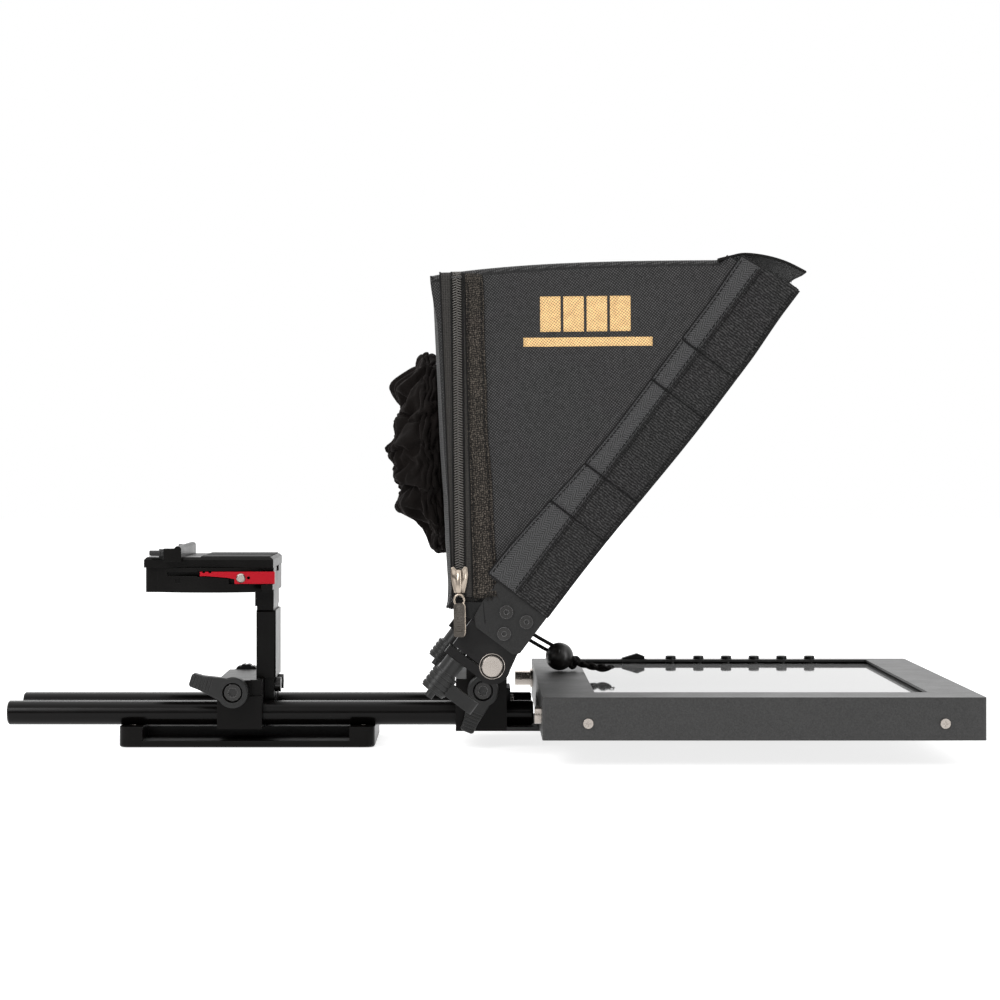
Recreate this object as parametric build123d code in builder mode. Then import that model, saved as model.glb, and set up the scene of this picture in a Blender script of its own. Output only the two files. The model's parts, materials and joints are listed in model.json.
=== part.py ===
"""Teleprompter on two rods: riser with a quick release, tilting hooded mirror frame, flat monitor.

The origin is the middle of the base plate's underside, where a tripod screws in.
+X runs along the rods towards the monitor, +Z is up, and -Y is called the near side.
"""
from build123d import *
import math
import os

os.makedirs("parts", exist_ok=True)

# ------------------------------------------------------------------ driving dimensions, in mm
running_gap = 0.05        # radial clearance of a shaft or rod that slides or turns
slide_gap = 0.1           # clearance between flat faces that slide

rod_radius = 7.5
rod_offset = 30.0         # from the middle plane to each rod's axis
rod_height = 20.0
rod_back = -148.5
rod_front = 176.0

base_half_length = 78.5
base_half_width = 45.0
base_top = rod_height - rod_radius
base_floor = 4.0
pocket_back = -64.0
pocket_front = 63.0
web_half_width = 18.0     # the base plate's solid middle, between its two pockets
web_top = 10.4
tripod_thread_radius = 4.0    # minor radius of a 3/8 inch thread
tripod_small_radius = 2.55    # minor radius of a 1/4 inch thread
base_screw_x = 71.0

riser_back = -18.3
riser_front = 9.1
riser_half_width = 43.0
riser_bottom = 11.0
riser_top = 41.0
neck_bottom = 82.8           # the groove under the post's head
neck_top = 85.4
riser_lever_x = -7.9
riser_lever_z = 34.2
post_screw_z = 36.0
post_screw_y = 12.0

release_back = -63.4
release_front = 15.8
release_bottom = 94.6
release_top = 109.8
camera_plate_top = 116.3
camera_plate_half_width = 38.0
camera_slot_x = -15.5        # middle of the camera screw's slot
stop_screw_y = -41.2
stop_screw_z = 119.0

pivot_x = 150.0
pivot_z = 56.0
slope = math.radians(53.0)    # the mirror frame's slope above the rods
shaft_radius = 6.25
shaft_half_length = 128.0
arm_outside = 127.0
arm_thickness = 10.0
side_plate_thickness = 2.0
frame_front = 8.3
frame_back = -27.2
frame_top = 276.0
hood_front = -30.5            # where the hood starts, behind the frame
hood_half_width = 127.0
hood_back_half_width = 100.0
hood_wall = 2.0

front_block_back = 128.2
front_block_front = 159.5
front_block_half_width = 45.0
front_block_bottom = 10.0
front_block_top = 42.0
front_lever_x = 144.9
front_lever_z = 35.5

monitor_back_x = 178.7
monitor_front_x = 433.9
monitor_half_width = 150.5
monitor_bottom = 15.2
monitor_top = 40.0
case_wall = 1.5
window_x = (210.0, 406.0)
window_y = (-116.0, 139.0)
glass_top = 37.2
button_y = 144.8
button_x = [273.6 + 18.92 * step for step in range(6)]
button_radius = 3.6
rocker_axis = (248.0, 37.6)

along_slope = Vector(math.cos(slope), 0, math.sin(slope))
off_slope = Vector(math.sin(slope), 0, -math.cos(slope))


# ------------------------------------------------------------------ helpers
def save(piece, name):
    """Labels a finished piece and writes it as a STEP file of the same name."""
    piece.part.label = name
    export_step(piece.part, f"parts/{name}.step")


def block(low, high, mode=Mode.ADD):
    """A box between two corners, inside the part that is being built."""
    middle = tuple((a + b) / 2 for a, b in zip(low, high))
    size = tuple(b - a for a, b in zip(low, high))
    with Locations(middle):
        Box(*size, mode=mode)


def slope_plane(y):
    """Sketch plane at a given y: its x runs up the frame's slope, its y forward off the slope."""
    return Plane(origin=(pivot_x, y, pivot_z), x_dir=along_slope, z_dir=(0, 1, 0))


def slope_point(up, off, y=0.0):
    """The point that lies a distance up the slope and a distance in front of the pivot."""
    return Vector(pivot_x, y, pivot_z) + along_slope * up + off_slope * off


def near_plane(x, y, z):
    """Sketch plane facing the near side: its x is +X, its y is +Z."""
    return Plane(origin=(x, y, z), x_dir=(1, 0, 0), z_dir=(0, -1, 0))


def far_plane(x, y, z):
    """Sketch plane facing the far side: its x is -X, its y is +Z."""
    return Plane(origin=(x, y, z), x_dir=(-1, 0, 0), z_dir=(0, 1, 0))


# ------------------------------------------------------------------ base plate and rods
with BuildPart() as base_plate:
    with BuildSketch():
        RectangleRounded(2 * base_half_length, 2 * base_half_width, 6)
    extrude(amount=base_top)
    chamfer(base_plate.faces().sort_by(Axis.Z)[0].edges(), 0.8)
    block((pocket_back, -base_half_width - 1, web_top),
          (pocket_front, base_half_width + 1, base_top + 1), mode=Mode.SUBTRACT)
    for side in (-1, 1):
        pocket_low, pocket_high = sorted((side * web_half_width, side * (base_half_width + 1)))
        block((pocket_back, pocket_low, base_floor),
              (pocket_front, pocket_high, base_top + 1), mode=Mode.SUBTRACT)
    Hole(radius=tripod_thread_radius)
    with Locations((16, 0)):
        Hole(radius=tripod_small_radius)
    with GridLocations(2 * base_screw_x, 2 * rod_offset, 2, 2):
        Hole(radius=2)
        with Locations((0, 0, 2)):
            Cylinder(3.6, 4, mode=Mode.SUBTRACT)
save(base_plate, "base_plate")

with BuildPart() as base_screws:
    with BuildSketch(Plane.XY.offset(0.5)):
        with GridLocations(2 * base_screw_x, 2 * rod_offset, 2, 2):
            Circle(3.6)
            RegularPolygon(1.6, 6, mode=Mode.SUBTRACT)
    extrude(amount=3.5)
    with BuildSketch(Plane.XY.offset(3)):
        with GridLocations(2 * base_screw_x, 2 * rod_offset, 2, 2):
            Circle(2)
    extrude(amount=14)
save(base_screws, "base_screws")

for rod_name, rod_y in (("near_rod", -rod_offset), ("far_rod", rod_offset)):
    with BuildPart() as rod:
        with BuildSketch(Plane.YZ.offset(rod_back)):
            with Locations((rod_y, rod_height)):
                Circle(rod_radius)
        extrude(amount=rod_front - rod_back)
        chamfer(rod.edges().filter_by(GeomType.CIRCLE), 1.0)
        for screw_x in (-base_screw_x, base_screw_x):
            with Locations((screw_x, rod_y, 14)):
                Cylinder(2, 6, mode=Mode.SUBTRACT)
    save(rod, rod_name)


# ------------------------------------------------------------------ clamping levers and knobs
def clamp_lever(plane, arm_angle):
    """Ratchet lever: stepped hub with a screw pocket, and a tapered arm with a knurled end."""
    hub_radius = 9.5
    turn = math.radians(arm_angle)
    arm_direction = plane.x_dir * math.cos(turn) + plane.y_dir * math.sin(turn)
    plane = Plane(origin=plane.origin, x_dir=arm_direction, z_dir=plane.z_dir)
    with BuildPart() as lever:
        with BuildSketch(plane.offset(slide_gap)):
            Circle(hub_radius - 2)
        extrude(amount=3)
        with BuildSketch(plane.offset(3)):
            Circle(hub_radius)
            with BuildLine():
                Polyline((0, hub_radius - 1.2), (20, 4.6), (26, 4.2), (27, 3.0), (27, -3.0),
                         (26, -4.2), (20, -4.4), (0, -hub_radius + 1.0), close=True)
            make_face()
        extrude(amount=8.5)
        fillet(lever.faces().sort_by(Axis(plane.origin, plane.z_dir))[-1].outer_wire().edges(), 1.0)
        with BuildSketch(plane.offset(5)):
            Circle(6.2)
        extrude(amount=8, mode=Mode.SUBTRACT)
        with BuildSketch(plane):
            Circle(3.0)
        extrude(amount=6, mode=Mode.SUBTRACT)
        with BuildSketch(plane.offset(11.0)):
            with Locations(*[(14.5 + 2.0 * row, 0) for row in range(6)]):
                Rectangle(0.9, 20)
        extrude(amount=2, mode=Mode.SUBTRACT)
    return lever


def lever_screw(plane):
    """Socket screw in the lever's pocket. Its stud runs on into the clamp block."""
    with BuildPart() as screw:
        with BuildSketch(plane.offset(5)):
            Circle(5.6)
        extrude(amount=5)
        chamfer(screw.faces().sort_by(Axis(plane.origin, plane.z_dir))[-1].edges(), 0.6)
        with BuildSketch(plane.offset(7.5)):
            RegularPolygon(3.0, 6)
        extrude(amount=4, mode=Mode.SUBTRACT)
        with BuildSketch(plane.offset(-12)):
            Circle(3.0)
        extrude(amount=17)
    return screw


def clamp_knob(plane):
    """Round knob with finger notches, on a stud that runs into the clamp block."""
    with BuildPart() as knob:
        with BuildSketch(plane.offset(slide_gap)):
            Circle(6.5)
        extrude(amount=3)
        with BuildSketch(plane.offset(3)):
            Circle(10)
            with PolarLocations(10.4, 16):
                Circle(1.0, mode=Mode.SUBTRACT)
        extrude(amount=9)
        chamfer(knob.faces().sort_by(Axis(plane.origin, plane.z_dir))[-1].outer_wire().edges(), 0.5)
        with BuildSketch(plane.offset(-12)):
            Circle(3.0)
        extrude(amount=13)
    return knob


# ------------------------------------------------------------------ riser carriage on the rods
with BuildPart() as riser_clamp_block:
    block((riser_back, -riser_half_width, riser_bottom), (riser_front, riser_half_width, riser_top))
    with BuildSketch(Plane.YZ.offset(riser_back - 1)):
        with Locations((-rod_offset, rod_height), (rod_offset, rod_height)):
            Circle(rod_radius + running_gap)
    extrude(amount=riser_front - riser_back + 2, mode=Mode.SUBTRACT)
    block((riser_back - 1, -19, 10), (riser_front + 1, 19, 16), mode=Mode.SUBTRACT)
    for side in (-1, 1):
        recess_low, recess_high = sorted((side * (riser_half_width - 3), side * 60))
        block((1.8, recess_low, 31), (20, recess_high, 50), mode=Mode.SUBTRACT)
    with Locations((riser_lever_x, 0, riser_lever_z)):
        Cylinder(3.1, 100, rotation=(90, 0, 0), mode=Mode.SUBTRACT)
    with BuildSketch(Plane.YZ.offset(riser_front)):
        with Locations((-post_screw_y, post_screw_z), (post_screw_y, post_screw_z)):
            Circle(2.9)
    extrude(amount=-8, mode=Mode.SUBTRACT)
save(riser_clamp_block, "riser_clamp_block")

with BuildPart() as riser_post_screws:
    with BuildSketch(Plane.YZ.offset(riser_front - 8)):
        with Locations((-post_screw_y, post_screw_z), (post_screw_y, post_screw_z)):
            Circle(2.9)
    extrude(amount=14.1)
    with BuildSketch(Plane.YZ.offset(riser_front + 6.1)):
        with Locations((-post_screw_y, post_screw_z), (post_screw_y, post_screw_z)):
            Circle(4.6)
    extrude(amount=3.6)
    with BuildSketch(Plane.YZ.offset(riser_front + 8)):
        with Locations((-post_screw_y, post_screw_z), (post_screw_y, post_screw_z)):
            RegularPolygon(2.3, 6)
    extrude(amount=3, mode=Mode.SUBTRACT)
save(riser_post_screws, "riser_post_screws")

riser_near = near_plane(riser_lever_x, -riser_half_width, riser_lever_z)
riser_far = far_plane(riser_lever_x, riser_half_width, riser_lever_z)
save(clamp_lever(riser_near, 162.5), "riser_clamp_lever")
save(lever_screw(riser_near), "riser_lever_screw")
save(clamp_knob(riser_far), "riser_clamp_knob")

with BuildPart() as riser_post:
    block((riser_front + slide_gap, -20, 13.5), (15, 20, 42))
    block((4.2, -23, riser_top + slide_gap), (16.2, 23, neck_bottom))
    chamfer(riser_post.faces().sort_by(Axis.Z)[-1].edges().filter_by(Axis.X), 1.2)
    block((4.4, -21.4, neck_bottom - 1), (14.8, 21.4, neck_top + 1))
    block((3.4, -23, neck_top), (15, 23, release_bottom))
    for screw_y in (-post_screw_y, post_screw_y):
        with BuildSketch(Plane.YZ.offset(3)):
            with Locations((screw_y, 28.5)):
                SlotOverall(24.2, 6.2, rotation=90)
        extrude(amount=14, mode=Mode.SUBTRACT)
    chamfer(riser_post.edges().filter_by(Axis.Z).group_by(Axis.X)[-1], 1.0)
save(riser_post, "riser_post")

with BuildPart() as quick_release_body:
    with BuildSketch(Plane.XY.offset(release_bottom)):
        with BuildLine():
            Line((release_back, -34), (-55.8, -34))
            ThreePointArc((-55.8, -34), (-23.4, -42), (8.9, -34))
            Line((8.9, -34), (release_front, -34))
            Line((release_front, -34), (release_front, 34))
            Line((release_front, 34), (8.9, 34))
            ThreePointArc((8.9, 34), (-23.4, 42), (-55.8, 34))
            Line((-55.8, 34), (release_back, 34))
            Line((release_back, 34), (release_back, -34))
        make_face()
    extrude(amount=release_top - release_bottom)
    block((8.9, -42.5, 96.4), (15.8, -33.9, 99.6))
    fillet(quick_release_body.edges().filter_by(Axis.Z).group_by(Axis.X)[0], 3)
    with BuildSketch(near_plane(0, -36.4, 0)):
        with BuildLine():
            Polyline((-30.5, 107.9), (-30.5, 104.2), (-25.5, 104.3), (-11.3, 103.2), (-11.3, 99.8),
                     (18, 99.8), (18, 107.9), close=True)
        make_face()
    extrude(amount=12, mode=Mode.SUBTRACT)
    block((8.8, -46, 99.8), (18, -33.8, 107.9), mode=Mode.SUBTRACT)
    block((-49.6, -46, 104.8), (-29, -34.5, 107.3), mode=Mode.SUBTRACT)
    block((-44.6, -46, 100.4), (-41.2, -38.2, 103.4), mode=Mode.SUBTRACT)
    block((-70, -9.15, release_top - 3.4), (20, 9.15, release_top + 1), mode=Mode.SUBTRACT)
    with Locations((12.5, -38.6, 98)):
        Cylinder(2.05, 12, mode=Mode.SUBTRACT)
save(quick_release_body, "quick_release_body")

with BuildPart() as quick_release_lever:
    with BuildSketch(near_plane(0, -36.8, 0)):
        with BuildLine():
            Polyline((-29, 104.8), (-25.8, 104.9), (-12, 103.8), (-7.7, 103.0), (-7.7, 100.1),
                     (17, 100.1), (17, 107.5), (-29, 107.5), close=True)
        make_face()
    extrude(amount=5)
    with Locations((-26.6, -39, 107.6), (-22.8, -39, 107.6)):
        Cylinder(1.0, 8, rotation=(90, 0, 0), mode=Mode.SUBTRACT)
    with Locations((0.9, -38.5, 103.8)):
        Cylinder(1.0, 8, rotation=(90, 0, 0), mode=Mode.SUBTRACT)
    with Locations((-3.8, -38.5, 103.6)):
        Cylinder(2.8, 8, rotation=(90, 0, 0), mode=Mode.SUBTRACT)
    with Locations((12.5, -38.6, 98.3)):
        Cylinder(2.0, 3.8)
save(quick_release_lever, "quick_release_lever")

with BuildPart() as quick_release_pin:
    with BuildSketch(near_plane(-3.8, -37.0, 103.6)):
        Circle(2.8)
    extrude(amount=6.0)
    chamfer(quick_release_pin.faces().sort_by(Axis.Y)[0].edges(), 0.6)
save(quick_release_pin, "quick_release_pin")

with BuildPart() as camera_plate:
    block((-63.8, -camera_plate_half_width, release_top + slide_gap),
          (15.8, camera_plate_half_width, camera_plate_top))
    chamfer(camera_plate.faces().sort_by(Axis.Z)[-1].edges(), 1.6)
    block((-58, -9, release_top - 3.2), (10, 9, release_top + 1))
    with BuildSketch(Plane.XY.offset(camera_plate_top)):
        with Locations((camera_slot_x, 0)):
            SlotOverall(51, 7.2)
    extrude(amount=-20, mode=Mode.SUBTRACT)
    with BuildSketch(Plane.XY.offset(camera_plate_top - 3)):
        with Locations((camera_slot_x, 0)):
            SlotOverall(58, 14.4)
    extrude(amount=-20, mode=Mode.SUBTRACT)
save(camera_plate, "camera_plate")

with BuildPart() as camera_pads:
    for side in (-1, 1):
        pad_low, pad_high = sorted((side * 5.0, side * 35.5))
        block((-29, pad_low, camera_plate_top), (13.5, pad_high, camera_plate_top + 0.6))
    chamfer(camera_pads.faces().filter_by(Axis.Z).group_by(Axis.Z)[-1].edges(), 0.3)
save(camera_pads, "camera_pads")

with BuildPart() as screw_washer:
    with BuildSketch(Plane.XY.offset(camera_plate_top - 4.2)):
        with Locations((camera_slot_x, 0)):
            Circle(6.9)
            Circle(3.25, mode=Mode.SUBTRACT)
    extrude(amount=1.1)
save(screw_washer, "screw_washer")

with BuildPart() as camera_screw:
    with BuildSketch(Plane.XY.offset(camera_plate_top - 8.2)):
        with Locations((camera_slot_x, 0)):
            Circle(6.3)
    extrude(amount=3.9)
    with BuildSketch(Plane.XY.offset(camera_plate_top - 5)):
        with Locations((camera_slot_x, 0)):
            Circle(3.175)
    extrude(amount=4.8)
    with Locations((camera_slot_x, 0, camera_plate_top - 8)):
        Box(13, 1.6, 2.4, mode=Mode.SUBTRACT)
save(camera_screw, "camera_screw")

with BuildPart() as plate_stop:
    block((-44.5, -44.4, camera_plate_top + slide_gap), (-40.2, 44.4, 123.2))
    for side in (-1, 1):
        cheek_low, cheek_high = sorted((side * 38.15, side * 44.4))
        block((-50.8, cheek_low, 113.7), (-40.2, cheek_high, 121.8))
    chamfer(plate_stop.edges().filter_by(Axis.Y).group_by(Axis.Z)[-1], 1.2)
    with Locations((-50, stop_screw_y, stop_screw_z)):
        Cylinder(1.25, 6, rotation=(0, 90, 0), mode=Mode.SUBTRACT)
save(plate_stop, "plate_stop")

with BuildPart() as stop_screw:
    with BuildSketch(Plane.YZ.offset(-59.7)):
        with Locations((stop_screw_y, stop_screw_z)):
            SlotOverall(8.0, 3.2)
    extrude(amount=6.5)
    with BuildSketch(Plane.YZ.offset(-54)):
        with Locations((stop_screw_y, stop_screw_z)):
            Circle(2.6)
    extrude(amount=3.0)
    with BuildSketch(Plane.YZ.offset(-53)):
        with Locations((stop_screw_y, stop_screw_z)):
            Circle(1.2)
    extrude(amount=5.5)
save(stop_screw, "stop_screw")

# ------------------------------------------------------------------ front carriage on the rods
bracket_screws = ((front_block_front, -11, 24), (front_block_front, 11, 24))
with BuildPart() as front_clamp_block:
    with BuildSketch(near_plane(0, 0, 0)):
        with BuildLine():
            Polyline((front_block_back, front_block_bottom), (front_block_front, front_block_bottom),
                     (front_block_front, 60), (153.5, 67), (140.5, 67), (134.7, 60),
                     (134.7, front_block_top), (front_block_back, front_block_top), close=True)
        make_face()
    extrude(amount=front_block_half_width, both=True)
    with BuildSketch(Plane.YZ.offset(front_block_back - 1)):
        with Locations((-rod_offset, rod_height), (rod_offset, rod_height)):
            Circle(rod_radius + running_gap)
    extrude(amount=40, mode=Mode.SUBTRACT)
    block((120, -19, 0), (170, 19, 15), mode=Mode.SUBTRACT)
    block((120, -25, front_block_top + 3), (170, 25, 80), mode=Mode.SUBTRACT)
    with Locations((pivot_x, 0, pivot_z)):
        Cylinder(shaft_radius, 100, rotation=(90, 0, 0), mode=Mode.SUBTRACT)
    with Locations((front_lever_x, 0, front_lever_z)):
        Cylinder(3.1, 100, rotation=(90, 0, 0), mode=Mode.SUBTRACT)
    with Locations(*bracket_screws):
        Cylinder(2.0, 16, rotation=(0, 90, 0), mode=Mode.SUBTRACT)
save(front_clamp_block, "front_clamp_block")

with BuildPart() as pivot_shaft:
    with Locations((pivot_x, 0, pivot_z)):
        Cylinder(shaft_radius, 2 * shaft_half_length, rotation=(90, 0, 0))
    chamfer(pivot_shaft.edges().filter_by(GeomType.CIRCLE), 0.6)
save(pivot_shaft, "pivot_shaft")

front_near = near_plane(front_lever_x, -front_block_half_width, front_lever_z)
front_far = far_plane(front_lever_x, front_block_half_width, front_lever_z)
save(clamp_lever(front_near, 248), "front_clamp_lever")
save(lever_screw(front_near), "front_lever_screw")
save(clamp_knob(front_far), "front_clamp_knob")

vesa_x = 306.3
vesa_half = 37.5
bracket_top = 12.4
with BuildPart() as monitor_bracket:
    block((front_block_front, -18.5, front_block_bottom), (front_block_front + 2.5, 18.5, 34))
    block((front_block_front, -front_block_half_width, front_block_bottom),
          (360, front_block_half_width, bracket_top))
    with Locations((vesa_x, 0, bracket_top)):
        with GridLocations(2 * vesa_half, 2 * vesa_half, 2, 2):
            Cylinder(7, monitor_bottom - bracket_top, align=(Align.CENTER, Align.CENTER, Align.MIN))
            Cylinder(2.0, 20, mode=Mode.SUBTRACT)
    with BuildSketch(Plane.XY.offset(front_block_bottom)):
        with Locations((215, 0)):
            SlotOverall(60, 40)
    extrude(amount=10, mode=Mode.SUBTRACT)
    with Locations(*bracket_screws):
        Cylinder(2.0, 16, rotation=(0, 90, 0), mode=Mode.SUBTRACT)
save(monitor_bracket, "monitor_bracket")

# ------------------------------------------------------------------ monitor
side_screw_x = (205.0, 410.0)
side_screw_z = 25.0
video_socket = (monitor_back_x, 116.5, 29.5)
power_socket = (monitor_back_x, -125.0, 27.5)
inner_back_x = monitor_back_x + case_wall
inner_front_x = monitor_front_x - case_wall
inner_half = monitor_half_width - case_wall

with BuildPart() as monitor_case:
    block((monitor_back_x, -monitor_half_width, monitor_bottom),
          (monitor_front_x, monitor_half_width, monitor_top))
    fillet(monitor_case.edges().filter_by(Axis.Z), 1.5)
    block((inner_back_x, -inner_half, 0), (inner_front_x, inner_half, monitor_top - case_wall),
          mode=Mode.SUBTRACT)
    block((window_x[0], window_y[0], 30), (window_x[1], window_y[1], 50), mode=Mode.SUBTRACT)
    with Locations(*[(x, button_y, monitor_top) for x in button_x]):
        Cylinder(button_radius + 0.15, 10, mode=Mode.SUBTRACT)
    block((239.4, 141.0, 35), (257.0, 148.4, 50), mode=Mode.SUBTRACT)
    for boss_low, boss_high in ((140.5, 141.0), (148.4, inner_half)):
        block((rocker_axis[0] - 1.6, boss_low, 36), (rocker_axis[0] + 1.6, boss_high, 38.6))
    with Locations((rocker_axis[0], 144.7, rocker_axis[1])):
        Cylinder(0.8 + running_gap, 8.5, rotation=(90, 0, 0), mode=Mode.SUBTRACT)
    with Locations(video_socket):
        Cylinder(5.2, 10, rotation=(0, 90, 0), mode=Mode.SUBTRACT)
    with Locations(power_socket):
        Cylinder(4.6, 10, rotation=(0, 90, 0), mode=Mode.SUBTRACT)
    for screw_x in side_screw_x:
        with Locations((screw_x, 0, side_screw_z)):
            Cylinder(1.5, 400, rotation=(90, 0, 0), mode=Mode.SUBTRACT)
save(monitor_case, "monitor_case")

with BuildPart() as monitor_back:
    block((inner_back_x, -inner_half, monitor_bottom), (inner_front_x, inner_half, monitor_bottom + 1.5))
    with Locations((vesa_x, 0, monitor_bottom)):
        with GridLocations(2 * vesa_half, 2 * vesa_half, 2, 2):
            Cylinder(2.0, 30, mode=Mode.SUBTRACT)
    with Locations((310, 0, monitor_bottom)):
        with GridLocations(12, 0, 9, 1):
            with Locations((0, 95, 0)):
                Box(4, 26, 10, mode=Mode.SUBTRACT)
save(monitor_back, "monitor_back")

with BuildPart() as monitor_posts:
    for side in (-1, 1):
        lip_low, lip_high = sorted((side * inner_half, side * (inner_half - 1.2)))
        block((190, lip_low, monitor_bottom + 1.5), (424, lip_high, 29))
    with Locations((vesa_x, 0, monitor_bottom + 1.5)):
        with GridLocations(2 * vesa_half, 2 * vesa_half, 2, 2):
            Cylinder(5, 5, align=(Align.CENTER, Align.CENTER, Align.MIN))
            Cylinder(2.0, 30, mode=Mode.SUBTRACT)
    with Locations((vesa_x, 0, monitor_bottom + 1.5)):
        with GridLocations(84, 46, 2, 2):
            Cylinder(3, 3, align=(Align.CENTER, Align.CENTER, Align.MIN))
    with Locations((310, 0, monitor_bottom + 1.5)):
        with GridLocations(206, 240, 2, 2):
            Box(6, 8, 15.3, align=(Align.CENTER, Align.CENTER, Align.MIN))
    for screw_x in side_screw_x:
        with Locations((screw_x, 0, side_screw_z)):
            Cylinder(1.5, 400, rotation=(90, 0, 0), mode=Mode.SUBTRACT)
save(monitor_posts, "monitor_posts")

with BuildPart() as lcd_panel:
    block((206.5, -119, 34.2), (409.5, 140.4, glass_top))
save(lcd_panel, "lcd_panel")

with BuildPart() as lcd_backlight:
    block((206.5, -119, 32), (409.5, 140.4, 34.2))
save(lcd_backlight, "lcd_backlight")

with BuildPart() as circuit_boards:
    block((258, -30, monitor_bottom + 4.5), (354, 30, monitor_bottom + 6.1))
    block((280, -12, monitor_bottom + 6.1), (304, 12, monitor_bottom + 8.6))
    block((320, -24, monitor_bottom + 6.1), (344, -12, monitor_bottom + 9.6))
    block((262, 140.6, 32.6), (380, 148.9, 34.2))
save(circuit_boards, "circuit_boards")

with BuildPart() as monitor_screws:
    for screw_x in side_screw_x:
        for plane in (near_plane(screw_x, -monitor_half_width, side_screw_z),
                      far_plane(screw_x, monitor_half_width, side_screw_z)):
            with BuildSketch(plane):
                Circle(2.9)
            extrude(amount=1.1)
            with BuildSketch(plane.offset(0.6)):
                Rectangle(3.0, 0.6)
                Rectangle(0.6, 3.0)
            extrude(amount=1, mode=Mode.SUBTRACT)
            with BuildSketch(plane.offset(-5)):
                Circle(1.5)
            extrude(amount=5)
    with Locations((vesa_x, 0, front_block_bottom - 1.8)):
        with GridLocations(2 * vesa_half, 2 * vesa_half, 2, 2):
            Cylinder(3.6, 1.8, align=(Align.CENTER, Align.CENTER, Align.MIN))
            Cylinder(2.0, 11, align=(Align.CENTER, Align.CENTER, Align.MIN))
    for bracket_screw in bracket_screws:
        with BuildSketch(Plane.YZ.offset(front_block_front - 7)):
            with Locations(bracket_screw[1:]):
                Circle(2.0)
        extrude(amount=9.5)
        with BuildSketch(Plane.YZ.offset(front_block_front + 2.5)):
            with Locations(bracket_screw[1:]):
                Circle(3.6)
        extrude(amount=2.2)
save(monitor_screws, "monitor_screws")

with BuildPart() as bnc_connector:
    with BuildSketch(Plane.YZ.offset(monitor_back_x)):
        with Locations(video_socket[1:]):
            Circle(6.2)
            Circle(5.2, mode=Mode.SUBTRACT)
    extrude(amount=-1.6)
    with BuildSketch(Plane.YZ.offset(monitor_back_x - 11.8)):
        with Locations(video_socket[1:]):
            Circle(4.85)
    extrude(amount=11.8)
    with BuildSketch(Plane.YZ.offset(monitor_back_x - 11.8)):
        with Locations(video_socket[1:]):
            Circle(3.9)
            Circle(1.1, mode=Mode.SUBTRACT)
    extrude(amount=9, mode=Mode.SUBTRACT)
    with BuildSketch(Plane.YZ.offset(monitor_back_x - 1.6)):
        with Locations(video_socket[1:]):
            Circle(5.2)
    extrude(amount=8.6)
    with Locations((monitor_back_x - 8.2, video_socket[1], video_socket[2])):
        Cylinder(0.9, 12.6, rotation=(90, 0, 0))
        Cylinder(3.9, 7.0, rotation=(0, 90, 0), mode=Mode.SUBTRACT)
    with Locations((monitor_back_x - 6, video_socket[1], video_socket[2])):
        Cylinder(1.1, 11.6, rotation=(0, 90, 0))
save(bnc_connector, "bnc_connector")

with BuildPart() as power_jack:
    with BuildSketch(Plane.YZ.offset(monitor_back_x - 4)):
        with Locations(power_socket[1:]):
            Circle(5)
    extrude(amount=4)
    with BuildSketch(Plane.YZ.offset(monitor_back_x)):
        with Locations(power_socket[1:]):
            Circle(4.6)
    extrude(amount=8)
    with BuildSketch(Plane.YZ.offset(monitor_back_x - 4)):
        with Locations(power_socket[1:]):
            Circle(2.9)
            Circle(1.0, mode=Mode.SUBTRACT)
    extrude(amount=9, mode=Mode.SUBTRACT)
save(power_jack, "power_jack")

for number, x in enumerate(button_x, start=1):
    with BuildPart() as button:
        with BuildSketch(Plane.XY.offset(36.2)):
            with Locations((x, button_y)):
                Circle(button_radius)
        extrude(amount=6.2)
        fillet(button.faces().sort_by(Axis.Z)[-1].edges(), 0.8)
    save(button, f"button_{number}")

with BuildPart() as rocker_switch:
    with BuildSketch(near_plane(0, 148.0, 0)):
        with BuildLine():
            Polyline((240.2, 40.9), (241.0, 36.6), (254.9, 36.6), (255.7, 42.0), (250.4, 44.0),
                     close=True)
        make_face()
    extrude(amount=6.6)
    with Locations((rocker_axis[0], 144.7, rocker_axis[1])):
        Cylinder(0.8, 8.4, rotation=(90, 0, 0))
save(rocker_switch, "rocker_switch")

# ------------------------------------------------------------------ mirror frame on the pivot shaft
slit_top = -3.5
slit_bottom = -4.8
clamp_off = -19.0          # the tilt clamp's screw, behind the pivot
arm_screw_places = ((30.3, -12.5), (32.7, 0.3), (19.4, -6.0))    # up the slope and off it
for arm_name, arm_y in (("near_arm", -arm_outside), ("far_arm", arm_outside - arm_thickness)):
    with BuildPart() as arm:
        with BuildSketch(slope_plane(arm_y)):
            with BuildLine():
                Polyline((-3.5, frame_back + 1.2), (60, frame_back + 1.2), (60, 7.6), (14, 7.6),
                         (0, 10.7), (-10, 0), (-10, frame_back), (-4.8, frame_back),
                         (-4.8, -12), (-3.5, -12), close=True)
            make_face()
            Circle(10.7)
            Circle(shaft_radius + running_gap, mode=Mode.SUBTRACT)
            with Locations(((slit_top + slit_bottom) / 2, -15)):
                Rectangle(slit_top - slit_bottom, 30, mode=Mode.SUBTRACT)
        extrude(amount=arm_thickness)
        with Locations((pivot_x, math.copysign(arm_outside - 0.4, arm_y), pivot_z)):
            Cylinder(shaft_radius + 0.9, 0.8, rotation=(90, 0, 0), mode=Mode.SUBTRACT)
        with BuildSketch(Plane(origin=slope_point(-40, clamp_off, arm_y + arm_thickness / 2),
                               x_dir=(0, 1, 0), z_dir=along_slope)):
            Circle(3.1)
        extrude(amount=56, mode=Mode.SUBTRACT)
        for up, off in arm_screw_places:
            with BuildSketch(slope_plane(arm_y - 1)):
                with Locations((up, off)):
                    Circle(2.0)
            extrude(amount=arm_thickness + 2, mode=Mode.SUBTRACT)
    save(arm, arm_name)

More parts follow.
